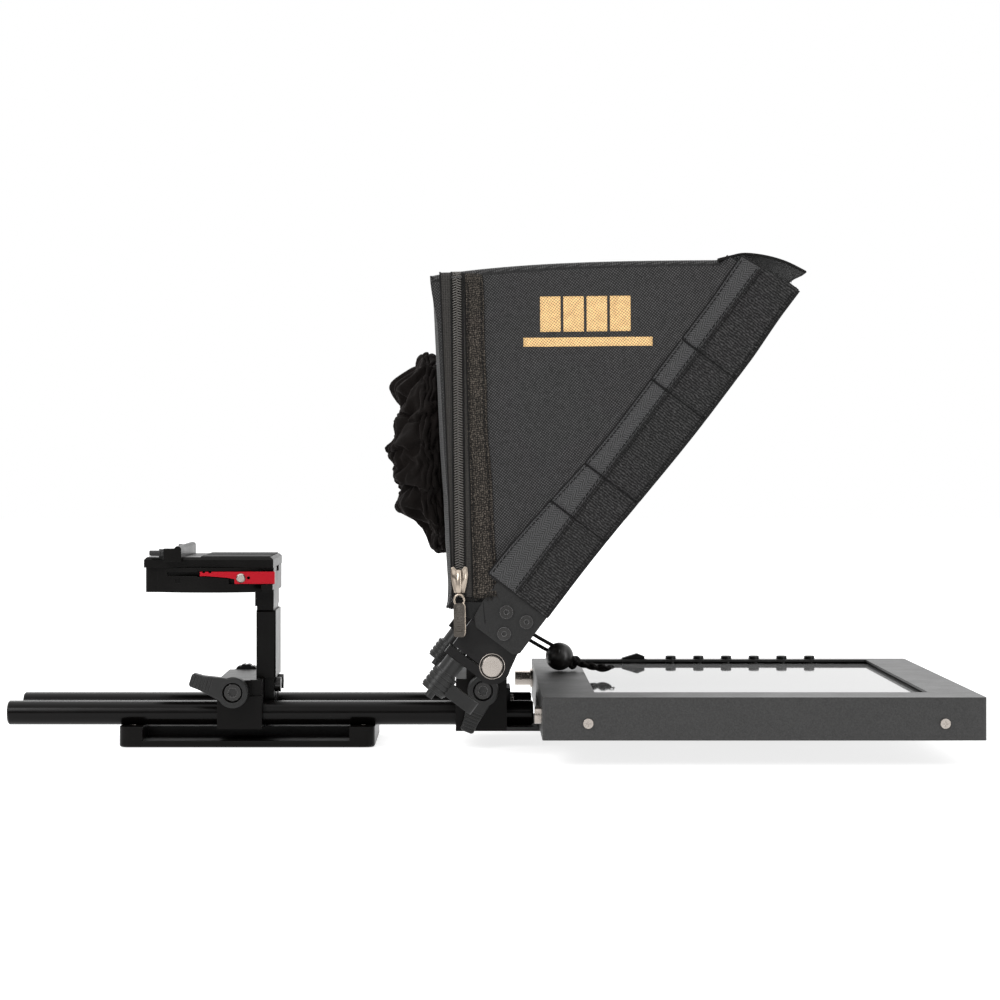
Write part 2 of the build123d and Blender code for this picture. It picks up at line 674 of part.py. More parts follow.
with BuildPart() as arm_screws:
    for side in (-1, 1):
        face = side * (arm_outside + side_plate_thickness)
        for up, off in arm_screw_places:
            with BuildSketch(slope_plane(face)):
                with Locations((up, off)):
                    Circle(3.9)
                    RegularPolygon(1.5, 6, mode=Mode.SUBTRACT)
            extrude(amount=side * 1.2)
            with BuildSketch(slope_plane(face)):
                with Locations((up, off)):
                    Circle(2.0)
            extrude(amount=-side * 10)
save(arm_screws, "arm_screws")

for plate_name, side in (("near_side_plate", -1), ("far_side_plate", 1)):
    with BuildPart() as side_plate:
        with BuildSketch(slope_plane(side * arm_outside)):
            with BuildLine():
                Polyline((12.7, -21.4), (16.9, -25.8), (26.7, frame_back), (frame_top, frame_back),
                         (frame_top, frame_front), (16.0, frame_front), (12.8, 5.3), close=True)
            make_face()
            with Locations(*arm_screw_places):
                Circle(2.0, mode=Mode.SUBTRACT)
        extrude(amount=side * side_plate_thickness)
        with BuildSketch(slope_plane(side * arm_outside)):
            with Locations(((64 + frame_top) / 2, -4.0)):
                Rectangle(frame_top - 64, 2.0)
        extrude(amount=-side * 12)
    save(side_plate, plate_name)

with BuildPart() as frame_rails:
    for up in (64.0, frame_top - 4):
        with BuildSketch(slope_plane(-arm_outside)):
            with Locations((up + 2, -11.5)):
                Rectangle(4, 13)
        extrude(amount=2 * arm_outside)
save(frame_rails, "frame_rails")

with BuildPart() as beamsplitter_glass:
    with BuildSketch(slope_plane(-124.5)):
        with Locations(((66 + frame_top) / 2, -1.5)):
            Rectangle(frame_top - 66, 3.0)
    extrude(amount=249)
save(beamsplitter_glass, "beamsplitter_glass")


def tilt_lever(y):
    """Tilt clamp under the split arm: screw, ribbed collar, end pin and a flat handle."""
    plane = Plane(origin=slope_point(-10, clamp_off, y), x_dir=off_slope, z_dir=-along_slope)
    with BuildPart() as lever:
        with BuildSketch(plane.offset(slide_gap)):
            Circle(6.0)
        extrude(amount=9)
        with BuildSketch(plane.offset(9)):
            Circle(6.6)
        extrude(amount=4)
        for rib in range(4):
            with BuildSketch(plane.offset(10 + 3.2 * rib)):
                Circle(8.0)
            extrude(amount=2.2)
            with BuildSketch(plane.offset(12 + 3.2 * rib)):
                Circle(7.4)
            extrude(amount=1.4)
        with BuildSketch(plane.offset(23)):
            Circle(2.6)
        extrude(amount=4)
        with BuildSketch(plane.offset(12.5)):
            with Locations((13, 0)):
                RectangleRounded(26, 7, 3.4)
        extrude(amount=8)
        with BuildSketch(plane.offset(-20)):
            Circle(3.0)
        extrude(amount=21)
    return lever


save(tilt_lever(-arm_outside + arm_thickness / 2), "near_tilt_lever")
save(tilt_lever(arm_outside - arm_thickness / 2), "far_tilt_lever")

# ------------------------------------------------------------------ hood, straps, zip and sock
hood_rear_top = (113.3, 285.3)
hood_rear_bottom = (123.6, 89.5)
hood_front_top = slope_point(274, hood_front)
hood_front_bottom = slope_point(36, hood_front)
rear_off = (hood_rear_top[0] - pivot_x) * off_slope.X + (hood_rear_top[1] - pivot_z) * off_slope.Z
side_lean = (hood_half_width - hood_back_half_width) / (hood_front - rear_off)


def hood_outward(side):
    """The unit normal of the hood's flat side, on the near side (-1) or the far side (1)."""
    return (Vector(0, side, 0) - off_slope * side_lean).normalized()


def hood_side_point(x, z, side=-1):
    """The point of the hood's flat side at this x and z."""
    off = (x - pivot_x) * off_slope.X + (z - pivot_z) * off_slope.Z
    return Vector(x, side * (hood_half_width - side_lean * (hood_front - off)), z)


def hood_volume(inset):
    """The hood's outer form, or the same form with every face moved inwards."""
    with BuildPart() as volume:
        with BuildSketch(Plane.XZ):
            with BuildLine():
                Polyline(hood_rear_top, (hood_front_top.X, hood_front_top.Z),
                         (hood_front_bottom.X, hood_front_bottom.Z), hood_rear_bottom, close=True)
            make_face()
            if inset:
                offset(amount=-inset, kind=Kind.INTERSECTION)
        extrude(amount=hood_half_width, both=True)
        for side in (-1, 1):
            corner = hood_side_point(*hood_rear_top, side)
            outward = hood_outward(side)
            split(bisect_by=Plane(origin=corner - outward * inset, z_dir=outward), keep=Keep.BOTTOM)
    return volume


rear_down = (Vector(hood_rear_bottom[0], 0, hood_rear_bottom[1])
             - Vector(hood_rear_top[0], 0, hood_rear_top[1])).normalized()
rear_outward = Vector(rear_down.Z, 0, -rear_down.X)
sock_height = 181.0
sock_centre = Vector(hood_rear_top[0] + (sock_height - hood_rear_top[1]) * rear_down.X / rear_down.Z,
                     0, sock_height)
sock_hole_radius = 57.0

with BuildPart() as hood_shell:
    add(hood_volume(0).part)
    add(hood_volume(hood_wall).part, mode=Mode.SUBTRACT)
    with BuildSketch(Plane(origin=sock_centre, x_dir=(0, 1, 0), z_dir=rear_outward)):
        Circle(sock_hole_radius)
    extrude(amount=8, both=True, mode=Mode.SUBTRACT)


def hood_inner_plane(corner, outward):
    """The plane of a panel's inner face; its normal points out of the hood."""
    outward = Vector(*outward).normalized()
    return Plane(origin=Vector(*corner) - outward * hood_wall, z_dir=outward)


top_run = (hood_front_top.X - hood_rear_top[0], hood_front_top.Z - hood_rear_top[1])
bottom_run = (hood_front_bottom.X - hood_rear_bottom[0], hood_front_bottom.Z - hood_rear_bottom[1])
near_inner, far_inner = (hood_inner_plane(hood_side_point(*hood_rear_top, side), hood_outward(side))
                         for side in (-1, 1))
top_inner = hood_inner_plane((hood_rear_top[0], 0, hood_rear_top[1]), (-top_run[1], 0, top_run[0]))
bottom_inner = hood_inner_plane((hood_rear_bottom[0], 0, hood_rear_bottom[1]),
                                (bottom_run[1], 0, -bottom_run[0]))
behind_front = Plane(origin=slope_point(0, hood_front - hood_wall), z_dir=off_slope)
inside_sides = [(near_inner, Keep.BOTTOM), (far_inner, Keep.BOTTOM)]
inside_all = inside_sides + [(top_inner, Keep.BOTTOM), (bottom_inner, Keep.BOTTOM)]
for panel_name, cuts in (("hood_near_panel", [(near_inner, Keep.TOP)]),
                         ("hood_far_panel", [(far_inner, Keep.TOP)]),
                         ("hood_top_panel", inside_sides + [(top_inner, Keep.TOP)]),
                         ("hood_bottom_panel", inside_sides + [(bottom_inner, Keep.TOP)]),
                         ("hood_rear_panel", inside_all + [(behind_front, Keep.BOTTOM)])):
    with BuildPart() as panel:
        add(hood_shell.part)
        for cut_plane, kept_half in cuts:
            split(bisect_by=cut_plane, keep=kept_half)
    save(panel, panel_name)

with BuildPart() as hood_flap:
    with BuildSketch(Plane.XZ):
        with BuildLine():
            Polyline((284, 293.1), (297, 297.2), (332.6, 287.0), (332.2, 285.3), (297, 295.4),
                     (290.8, 293.3), close=True)
        make_face()
    extrude(amount=hood_half_width, both=True)
save(hood_flap, "hood_flap")

for strap_name, side in (("near_strap", -1), ("far_strap", 1)):
    with BuildPart() as strap:
        with BuildSketch(slope_plane(side * (arm_outside + side_plate_thickness))):
            with Locations((160, -12.25)):
                Rectangle(236, 41.9)
        extrude(amount=side * 1.9)
    save(strap, strap_name)

zip_bottom = hood_side_point(131.2, 106.0)
zip_top = hood_side_point(129.4, 282.0)
zip_direction = (zip_top - zip_bottom).normalized()
zip_length = (zip_top - zip_bottom).length
zip_plane = Plane(origin=zip_bottom, x_dir=zip_direction, z_dir=hood_outward(-1))
with BuildPart() as zip_tape:
    with BuildSketch(zip_plane.offset(0.05)):
        with Locations((zip_length / 2 - 5, 0)):
            Rectangle(zip_length, 11)
    extrude(amount=1.0)
save(zip_tape, "zip_tape")

puller_hinge = (-10.5, 3.1)    # along the zip and off it, from the zip's lower end
with BuildPart() as zip_slider:
    with BuildSketch(zip_plane.offset(1.3)):
        with Locations((-0.5, 0)):
            RectangleRounded(15, 9.4, 2)
    extrude(amount=3.6)
    with BuildSketch(zip_plane.offset(1.3)):
        with Locations((-9.5, -3.4), (-9.5, 3.4)):
            Rectangle(5, 1.6)
    extrude(amount=3.6)
    with BuildSketch(Plane(origin=zip_plane.from_local_coords((puller_hinge[0], -3, puller_hinge[1])),
                           z_dir=zip_plane.y_dir)):
        Circle(0.6)
    extrude(amount=6)
save(zip_slider, "zip_slider")

with BuildPart() as zip_puller:
    with BuildSketch(zip_plane.offset(2.2)):
        with Locations((-24.6, 0)):
            RectangleRounded(23, 8, 1.5)
        with Locations((-11.5, 0)):
            Rectangle(4.4, 4.6)
    extrude(amount=1.8)
    with BuildSketch(Plane(origin=zip_plane.from_local_coords((puller_hinge[0], -5, puller_hinge[1])),
                           z_dir=zip_plane.y_dir)):
        Circle(0.65)
    extrude(amount=10, mode=Mode.SUBTRACT)
save(zip_puller, "zip_puller")

with BuildPart() as camera_sock:
    with BuildSketch(Plane(origin=sock_centre, x_dir=(0, 1, 0), z_dir=-rear_down)):
        with BuildLine():
            Polyline((23, 0.4), (63, 0.4), (67.5, 6), (66, 16), (56, 26), (42, 32), (30, 33.5),
                     (23, 31), close=True)
        make_face()
    revolve(axis=Axis(sock_centre, rear_outward))
save(camera_sock, "camera_sock")

# ------------------------------------------------------------------ drawcord of the hood's hem
cord_radius = 1.1
lock_centre = Vector(194.5, 42.0, 49.4)
strand_a = [(145.6, 41.0, 102.0), (149.6, 41.3, 95.0), (158.6, 42.2, 81.2), (169.0, 43.0, 69.4),
            (180.1, 42.9, 61.8), (190.6, 42.4, 56.2)]
strand_b = [(143.1, 45.5, 100.5), (147.0, 45.6, 93.6), (155.2, 46.0, 79.0), (165.2, 46.3, 66.6),
            (176.5, 45.8, 58.6), (187.3, 44.9, 52.9)]


def cord_tube(route, radius):
    """A tube of straight runs joined by tangent arcs, each as large as its two runs allow."""
    points = [Vector(*p) for p in route]
    runs = [b - a for a, b in zip(points, points[1:])]
    radii = []
    for before, after in zip(runs, runs[1:]):
        half_turn = math.radians(before.get_angle(after)) / 2
        radii.append(0.45 * min(before.length, after.length) / math.tan(half_turn))
    print("cord radii", [round(r, 1) for r in radii])
    with BuildPart() as tube:
        with BuildLine() as path:
            FilletPolyline(*points, radius=radii)
        with BuildSketch(Plane(origin=points[0], z_dir=runs[0])):
            Circle(radius)
        sweep(path=path.wires()[0])
    print("cord length", round(path.wires()[0].length, 1),
          "volume ratio", round(tube.part.volume / (math.pi * radius**2 * path.wires()[0].length), 3))
    return tube


save(cord_tube(strand_a, cord_radius), "lock_cord_a")
save(cord_tube(strand_b, cord_radius), "lock_cord_b")

with BuildPart() as cord_lock:
    with Locations(lock_centre):
        Sphere(9.0)
    for route in (strand_a, strand_b):
        run = Vector(*route[-1]) - Vector(*route[-2])
        with BuildSketch(Plane(origin=Vector(*route[-1]) + run.normalized() * 0.2, z_dir=run)):
            Circle(2.0)
        extrude(amount=-8, mode=Mode.SUBTRACT)
save(cord_lock, "cord_lock")

knot_start = Vector(203.4, 41.6, 46.2)
knot_direction = Vector(17, -0.8, -3.4).normalized()
with BuildPart() as cord_knot:
    knot_plane = Plane(origin=knot_start, x_dir=(0, 1, 0),
                       z_dir=knot_direction.cross(Vector(0, 1, 0)))
    with BuildSketch(knot_plane):
        with BuildLine():
            Polyline((0, 0), (2.6, 0), (4.2, -1.6), (4.2, -4.6), (2.2, -6.4), (2.1, -18), (0, -18),
                     close=True)
        make_face()
    revolve(axis=Axis(knot_start, knot_direction))
save(cord_knot, "cord_knot")
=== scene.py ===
import json
import math
import random

import bmesh
import bpy
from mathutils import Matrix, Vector, noise


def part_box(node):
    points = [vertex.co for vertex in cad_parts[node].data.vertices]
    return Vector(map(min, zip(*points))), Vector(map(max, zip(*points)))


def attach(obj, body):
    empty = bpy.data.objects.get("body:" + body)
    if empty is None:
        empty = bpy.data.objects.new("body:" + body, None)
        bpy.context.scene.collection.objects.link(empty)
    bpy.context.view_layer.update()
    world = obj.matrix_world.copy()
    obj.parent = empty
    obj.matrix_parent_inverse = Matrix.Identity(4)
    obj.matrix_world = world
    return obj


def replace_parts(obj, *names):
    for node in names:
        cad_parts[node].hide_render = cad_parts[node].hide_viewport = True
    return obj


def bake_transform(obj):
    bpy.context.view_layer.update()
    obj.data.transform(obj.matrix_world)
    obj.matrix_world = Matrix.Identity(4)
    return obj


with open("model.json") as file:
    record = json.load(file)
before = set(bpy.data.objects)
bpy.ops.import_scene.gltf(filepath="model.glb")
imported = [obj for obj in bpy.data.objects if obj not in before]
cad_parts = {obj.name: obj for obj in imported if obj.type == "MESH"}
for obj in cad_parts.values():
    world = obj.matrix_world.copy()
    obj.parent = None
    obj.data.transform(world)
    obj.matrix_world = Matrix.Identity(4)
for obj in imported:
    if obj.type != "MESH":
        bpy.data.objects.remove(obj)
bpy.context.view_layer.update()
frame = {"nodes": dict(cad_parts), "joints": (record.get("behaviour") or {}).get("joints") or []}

# --- the frame, in metres
MM = 0.001
joints = {joint["name"]: joint for joint in frame["joints"]}
PIVOT = Vector(joints["frame_tilt"]["pos_m"])
SLOPE = math.radians(53.0)
UP = Vector((math.cos(SLOPE), 0, math.sin(SLOPE)))          # up the mirror frame's slope
OFF = Vector((math.sin(SLOPE), 0, -math.cos(SLOPE)))        # forward, off the slope
ZIP = Vector(joints["zip_travel"]["axis"]).normalized()
MIRROR = "mirror_frame"
FRONT = "front_carriage"


def slope_point(up, off, y):
    """A point up the slope and off it, from the pivot, in millimetres; y is in millimetres too."""
    return Vector((PIVOT.x, y * MM, PIVOT.z)) + UP * (up * MM) + OFF * (off * MM)


def slope_parts(p):
    """How far a point is up the slope and off it, in metres."""
    d = Vector((p.x - PIVOT.x, 0, p.z - PIVOT.z))
    return d.dot(UP), d.dot(OFF)


def smooth(x, low, high):
    """From 0 at the low value to 1 at the high one, with no corner at either."""
    x = min(1.0, max(0.0, (x - low) / (high - low)))
    return x * x * (3 - 2 * x)


def add_object(name, data):
    """A new object in the scene."""
    thing = bpy.data.objects.new(name, data)
    bpy.context.scene.collection.objects.link(thing)
    return thing


# --- nodes of the world and the materials
class Tree:
    """The node tree of a world or a material. Its methods add nodes and return their output sockets."""

    def __init__(self, owner):
        owner.use_nodes = True
        self.nodes, self.links = owner.node_tree.nodes, owner.node_tree.links

    def feed(self, socket, value):
        """Links a socket to another one, or sets its value."""
        if isinstance(value, bpy.types.NodeSocket):
            self.links.new(value, socket)
        else:
            socket.default_value = (*value, 1.0) if socket.type == "RGBA" else value

    def node(self, kind, inputs=None, **settings):
        node = self.nodes.new(kind)
        for key, value in settings.items():
            setattr(node, key, value)
        for key, value in (inputs or {}).items():
            self.feed(node.inputs[key], value)
        return node

    def spread(self, value, low, high, to_low, to_high, **settings):
        inputs = {"Value": value, 1: low, 2: high, 3: to_low, 4: to_high}
        return self.node("ShaderNodeMapRange", inputs, **settings).outputs[0]


class Shader(Tree):
    """One procedural material."""

    def __init__(self, name, roughness=0.5, metallic=0.0, **values):
        self.material = bpy.data.materials.new(name)
        super().__init__(self.material)
        self.bsdf = self.nodes["Principled BSDF"]
        self.finish(Roughness=roughness, Metallic=metallic, **values)

    def finish(self, **values):
        """Sets inputs of the surface, and returns the material."""
        for name, value in values.items():
            self.feed(self.bsdf.inputs[name.replace("_", " ")], value)
        return self.material

    def place(self, uv=None):
        """Object coordinates in metres, or a named UV map's."""
        if uv:
            return self.node("ShaderNodeUVMap", uv_map=uv).outputs["UV"]
        return self.node("ShaderNodeTexCoord").outputs["Object"]

    def noise(self, vector, scale, detail=3.0, roughness=0.55):
        inputs = {"Vector": vector, "Scale": scale, "Detail": detail, "Roughness": roughness}
        return self.node("ShaderNodeTexNoise", inputs).outputs["Fac"]

    def cells(self, vector, scale, feature="F1"):
        inputs = {"Vector": vector, "Scale": scale}
        return self.node("ShaderNodeTexVoronoi", inputs, feature=feature).outputs["Distance"]

    def maths(self, operation, a, b=0.0, c=0.0):
        return self.node("ShaderNodeMath", {0: a, 1: b, 2: c}, operation=operation).outputs[0]

    def ramp(self, value, stops):
        """A colour ramp; each stop is (position, colour)."""
        node = self.node("ShaderNodeValToRGB", {"Fac": value})
        elements = node.color_ramp.elements
        while len(elements) < len(stops):
            elements.new(0.5)
        for element, (position, colour) in zip(elements, stops):
            element.position = position
            element.color = (*colour, 1.0)
        return node.outputs["Color"]

    def blend(self, factor, a, b):
        """A mix of two colours."""
        return self.node("ShaderNodeMix", {0: factor, 6: a, 7: b}, data_type="RGBA").outputs[2]

    def bump(self, height, distance, strength=1.0, normal=None):
        inputs = {"Height": height, "Distance": distance, "Strength": strength}
        if normal is not None:
            inputs["Normal"] = normal
        return self.node("ShaderNodeBump", inputs).outputs["Normal"]

    def bevel(self, radius):
        """A normal that rounds sharp edges a little, so that they catch the light."""
        return self.node("ShaderNodeBevel", {"Radius": radius}, samples=4).outputs["Normal"]

    def edges(self, rounded):
        """From 0 on flat faces to about 1 on the edges that a bevel's normal rounds."""
        flat = self.node("ShaderNodeNewGeometry").outputs["Normal"]
        match = self.node("ShaderNodeVectorMath", {0: rounded, 1: flat}, operation="DOT_PRODUCT")
        return self.spread(match.outputs["Value"], 0.995, 0.8, 0.0, 1.0)

    def parts(self, vector):
        """A vector's coordinates, by name."""
        return self.node("ShaderNodeSeparateXYZ", {"Vector": vector}).outputs

    def woven(self, patterns, stops, depth, strength=0.8):
        """Cloth whose colour and bumps follow a height that adds up patterns, each with its share."""
        height = 0.0
        for pattern, share in patterns:
            height = self.maths("MULTIPLY_ADD", pattern, share, height)
        return self.finish(Base_Color=self.ramp(height, stops), Normal=self.bump(height, depth, strength))

    def wave(self, value, pitch):
        return self.maths("SINE", self.maths("MULTIPLY", value, math.pi / pitch))

    def stripe(self, value, pitch):
        """Rounded ridges along a coordinate, from 0 to 1."""
        return self.maths("ABSOLUTE", self.wave(value, pitch))

    def shaken(self, vector, scale, reach):
        """A vector moved about by noise, so that a pattern is not machine-straight."""
        node = self.node("ShaderNodeTexNoise", {"Vector": self.place(), "Scale": scale, "Detail": 2.0})
        centred = self.node("ShaderNodeVectorMath", {0: node.outputs["Color"], 1: (0.5, 0.5, 0.5)},
                            operation="SUBTRACT").outputs[0]
        moved = self.node("ShaderNodeVectorMath", {0: centred, "Scale": reach}, operation="SCALE").outputs[0]
        return self.node("ShaderNodeVectorMath", {0: vector, 1: moved}, operation="ADD").outputs[0]

    def dots(self, vector, pitch):
        """Crowns of a coarse plain weave: bright dots in a grid of dark gaps, from 0 to 1."""
        parts = self.parts(vector)
        return self.maths("MULTIPLY", self.stripe(parts["X"], pitch), self.stripe(parts["Y"], pitch))

    def weave(self, vector, pitch):
        """Plain weave: height of the upper thread, from 0 in the gaps to 1 on the crowns."""
        parts = self.parts(vector)
        waves = [self.wave(parts[axis], pitch) for axis in ("X", "Y")]
        over = self.maths("GREATER_THAN", self.maths("MULTIPLY", *waves), 0.0)
        warp, weft = (self.maths("ABSOLUTE", wave) for wave in waves)
        first = self.maths("MULTIPLY", self.maths("POWER", warp, 0.7), over)
        under = self.maths("SUBTRACT", 1.0, over)
        second = self.maths("MULTIPLY", self.maths("POWER", weft, 0.7), under)
        return self.maths("ADD", first, second)


# --- camera and light
def make_camera():
    data = bpy.data.cameras.new("camera")
    data.lens = 97.5
    data.sensor_width = 36
    data.shift_x = 0.025
    data.shift_y = -0.043
    data.clip_start = 0.05
    camera = add_object("camera", data)
    camera.location = (0.140, -1.705, 0.178)
    camera.rotation_euler = (math.radians(90), 0, 0)
    bpy.context.scene.camera = camera


def area_light(name, place, target, size, power):
    data = bpy.data.lights.new(name, "AREA")
    data.shape = "RECTANGLE"
    data.size, data.size_y = size
    data.energy = power
    light = add_object(name, data)
    light.location = place
    light.rotation_euler = (Vector(target) - Vector(place)).to_track_quat("-Z", "Y").to_euler()


def make_light():
    """A white studio: the backdrop behind and above is bright, and the camera's side is dim."""
    world = bpy.data.worlds.new("studio")
    bpy.context.scene.world = world
    tree = Tree(world)
    place = tree.node("ShaderNodeTexCoord").outputs["Generated"]
    facing = tree.node("ShaderNodeVectorMath", {0: place, 1: (0.15, 0.85, 0.5)}, operation="DOT_PRODUCT")
    brightness = tree.spread(facing.outputs["Value"], -0.25, 0.6, 0.09, 1.1, interpolation_type="SMOOTHSTEP")
    ambient = tree.node("ShaderNodeBackground", {"Color": (1, 1, 1), "Strength": brightness}).outputs[0]
    backdrop = tree.node("ShaderNodeBackground", {"Color": (1, 1, 1), "Strength": 1.0}).outputs[0]
    seen = tree.node("ShaderNodeLightPath").outputs["Is Camera Ray"]
    choice = tree.node("ShaderNodeMixShader", {0: seen, 1: ambient, 2: backdrop}).outputs[0]
    tree.feed(tree.nodes["World Output"].inputs["Surface"], choice)
    overhead = bpy.data.lights.new("overhead", "SUN")
    overhead.energy = 1.9
    overhead.angle = math.radians(110)
    add_object("overhead", overhead).rotation_euler = (math.radians(18), math.radians(-8), 0)
    area_light("key", (-0.8, -1.5, 1.1), (0.15, 0, 0.15), (0.7, 0.9), 20)
    area_light("right", (1.7, -1.1, 0.6), (0.25, 0, 0.12), (0.5, 1.2), 11)
    area_light("back", (0.2, 1.6, 1.3), (0.15, 0, 0.15), (1.6, 0.6), 8)
    bpy.context.scene.view_settings.view_transform = "Standard"
    bpy.context.scene.view_settings.look = "None"


make_camera()
make_light()


# --- materials
def grey(value):
    return value, value, value


def grained(name, colour, roughness, metallic=0.0, grain=0.00006, scale=2600, wear=0.1, edge=0.0003, edge_highlight=0.35,
            lift=0.03, speckle=0.0, gloss=0.5):
    """Metal or plastic: fine grain, uneven gloss, faint rubbed patches, and a painted highlight in a lighter colour
    on its rounded edges.
    """
    shader = Shader(name, roughness, metallic, Specular_IOR_Level=gloss)
    place = shader.place()
    fine = shader.noise(place, scale, 2)
    patches = shader.noise(place, 55, 4, 0.62)
    rounded = shader.bevel(edge)
    rubbed = shader.spread(patches, 0.45, 0.8, 0.0, wear)
    # The rubbed patches are the surface's own wear; the edge mask, scaled by the edge-highlight strength, is a
    # painted highlight on rounded edges.
    tone_mask = shader.maths("MAXIMUM", rubbed, shader.maths("MULTIPLY", shader.edges(rounded), edge_highlight))
    # This lighter colour serves both the rubbed patches and the painted edge highlight; lift brightens it.
    light = tuple(min(1.0, c * 2.2 + lift) for c in colour)
    specks = shader.spread(shader.noise(place, 1100, 2), 0.3, 0.7, 0.0, 1.0)
    ground = shader.blend(specks, tuple(c * (1 - speckle) for c in colour), tuple(c * (1 + speckle) for c in colour))
    return shader.finish(Base_Color=shader.blend(tone_mask, ground, light),
                         Roughness=shader.spread(patches, 0.25, 0.8, roughness - 0.03, roughness + 0.06),
                         Normal=shader.bump(fine, grain, 0.4, rounded))


def brushed(name, colour, roughness):
    """Bright metal with fine brush marks and faint smears."""
    shader = Shader(name, roughness, 1.0)
    marks = shader.noise(shader.place(), 3000, 2)
    smear = shader.noise(shader.place(), 90, 2)
    dull = tuple(c * 0.75 for c in colour)
    return shader.finish(Base_Color=shader.blend(shader.spread(smear, 0.3, 0.75, 0.0, 0.35), colour, dull),
                         Roughness=shader.spread(marks, 0.2, 0.8, roughness - 0.04, roughness + 0.05),
                         Normal=shader.bump(marks, 0.000004, 0.2, shader.bevel(0.0003)))


def cloth_shader(name, roughness=0.85, sheen=0.03, softness=0.5, gloss=0.2):
    return Shader(name, roughness, Sheen_Weight=sheen, Sheen_Roughness=softness, Specular_IOR_Level=gloss)


def hood_crowns(shader):
    """The crowns of the hood's weave, which its print lies on too."""
    return shader.dots(shader.shaken(shader.place("cloth"), 260, 0.0009), 0.00128)


def coated_nylon():
    """The hood's cloth: charcoal nylon whose thick threads stand out as a grid of small crowns."""
    shader = Shader("coated_nylon", 0.55, Specular_IOR_Level=0.3)
    crowns = hood_crowns(shader)
    uneven = shader.noise(shader.place(), 420, 2)
    height = shader.maths("MULTIPLY", crowns, shader.spread(uneven, 0.3, 0.7, 0.65, 1.15))
    shade = shader.noise(shader.place(), 14, 3)
    high = shader.blend(shade, (0.036, 0.0353, 0.0356), (0.050, 0.0492, 0.0495))
    crease = shader.bump(shader.noise(shader.place(), 60, 4), 0.0006, 0.35)
    return shader.finish(Base_Color=shader.blend(shader.spread(height, 0.26, 0.74, 0, 1), grey(0.0012), high),
                         Roughness=shader.spread(height, 0.2, 1, 0.7, 0.5),
                         Normal=shader.bump(height, 0.0003, 0.8, crease))


def plain_cloth(name, low, high, pitch, depth=0.0002, uv="cloth", sheen=0.03):
    """Woven tape or plain cloth."""
    shader = cloth_shader(name, sheen=sheen)
    threads = shader.weave(shader.place(uv), pitch)
    fuzz = shader.noise(shader.place(), 900, 3)
    return shader.woven([(threads, 0.7), (fuzz, 0.45)], [(0.25, low), (0.95, high)], depth)


def herringbone():
    """Strap tape: slanting ribs that turn back in a zigzag across its width."""
    shader = cloth_shader("strap_tape")
    parts = shader.parts(shader.shaken(shader.place("cloth"), 300, 0.0007))
    turned = shader.maths("PINGPONG", parts["Y"], 0.0029)
    ribs = shader.stripe(shader.maths("ADD", parts["X"], turned), 0.0014)
    fuzz = shader.noise(shader.place(), 1000, 3)
    return shader.woven([(ribs, 0.6), (fuzz, 0.5)], [(0.25, grey(0.004)), (0.95, (0.068, 0.068, 0.069))], 0.0003)


def webbing_cloth():
    """Coarse brown-black webbing: thick, uneven loops that stand up in rough rows."""
    shader = cloth_shader("webbing", 0.9, 0.04)
    crowns = shader.dots(shader.shaken(shader.place("cloth"), 420, 0.0028), 0.00125)
    loops = shader.cells(shader.place(), 850)
    fuzz = shader.noise(shader.place(), 1400, 3)
    stops = [(0.3, (0.0012, 0.0010, 0.0009)), (0.62, (0.0145, 0.0120, 0.0097)), (0.95, (0.085, 0.073, 0.060))]
    return shader.woven([(loops, 0.45), (crowns, 0.45), (fuzz, 0.4)], stops, 0.0005, 0.9)


def loop_pile():
    """The soft side of hook-and-loop: tufts in close rows across the tape, with plain selvages."""
    shader = cloth_shader("loop_pile", 0.95, 0.03, 0.6, 0.15)
    rows = shader.stripe(shader.parts(shader.shaken(shader.place("cloth"), 340, 0.0022))["X"], 0.0015)
    tufts = shader.cells(shader.place(), 760)
    fuzz = shader.noise(shader.place(), 1500, 4, 0.7)
    stops = [(0.25, grey(0.0015)), (0.6, (0.014, 0.0138, 0.0138)), (0.95, (0.060, 0.059, 0.059))]
    return shader.woven([(tufts, 0.34), (rows, 0.36), (fuzz, 0.4)], stops, 0.0006, 1.0)


def sock_cloth():
    """Soft black stretch cloth with a faint sheen on its folds."""
    shader = cloth_shader("sock_cloth", 0.92, 0.045, 0.35, 0.1)
    place = shader.place()
    knit = shader.noise(place, 1700, 3)
    shade = shader.noise(place, 40, 3)
    crease = shader.bump(shader.noise(place, 170, 5, 0.6), 0.0012, 0.5)
    return shader.finish(Sheen_Tint=(0.75, 0.62, 0.58), Normal=shader.bump(knit, 0.00015, 0.6, crease),
                         Base_Color=shader.blend(shade, (0.0016, 0.0012, 0.0010), (0.0065, 0.0046, 0.0040)))


def screen_surface():
    """The screen, switched off: a pale, almost smooth coating that mirrors the studio at a low angle."""
    shader = Shader("screen_surface", 0.05, IOR=1.5, Coat_Weight=0.2, Coat_Roughness=0.03)
    smudge = shader.noise(shader.place(), 18, 3)
    return shader.finish(Base_Color=shader.blend(smudge, grey(0.21), grey(0.24)),
                         Roughness=shader.spread(smudge, 0.3, 0.7, 0.035, 0.06))


def mirror_glass():
    """Partly reflecting glass, with a trace of dust."""
    shader = Shader("mirror_glass", 0.0, IOR=1.75, Transmission_Weight=1.0)
    dust = shader.noise(shader.place(), 30, 4)
    return shader.finish(Base_Color=(0.86, 0.9, 0.9), Roughness=shader.spread(dust, 0.45, 0.9, 0.0, 0.03))


def circuit_board():
    shader = Shader("circuit_board", 0.45)
    traces = shader.cells(shader.place(), 160, "DISTANCE_TO_EDGE")
    lit = shader.maths("LESS_THAN", traces, 0.06)
    return shader.finish(Base_Color=shader.blend(lit, (0.008, 0.08, 0.03), (0.02, 0.2, 0.07)),
                         Normal=shader.bump(traces, 0.0001, 0.5))


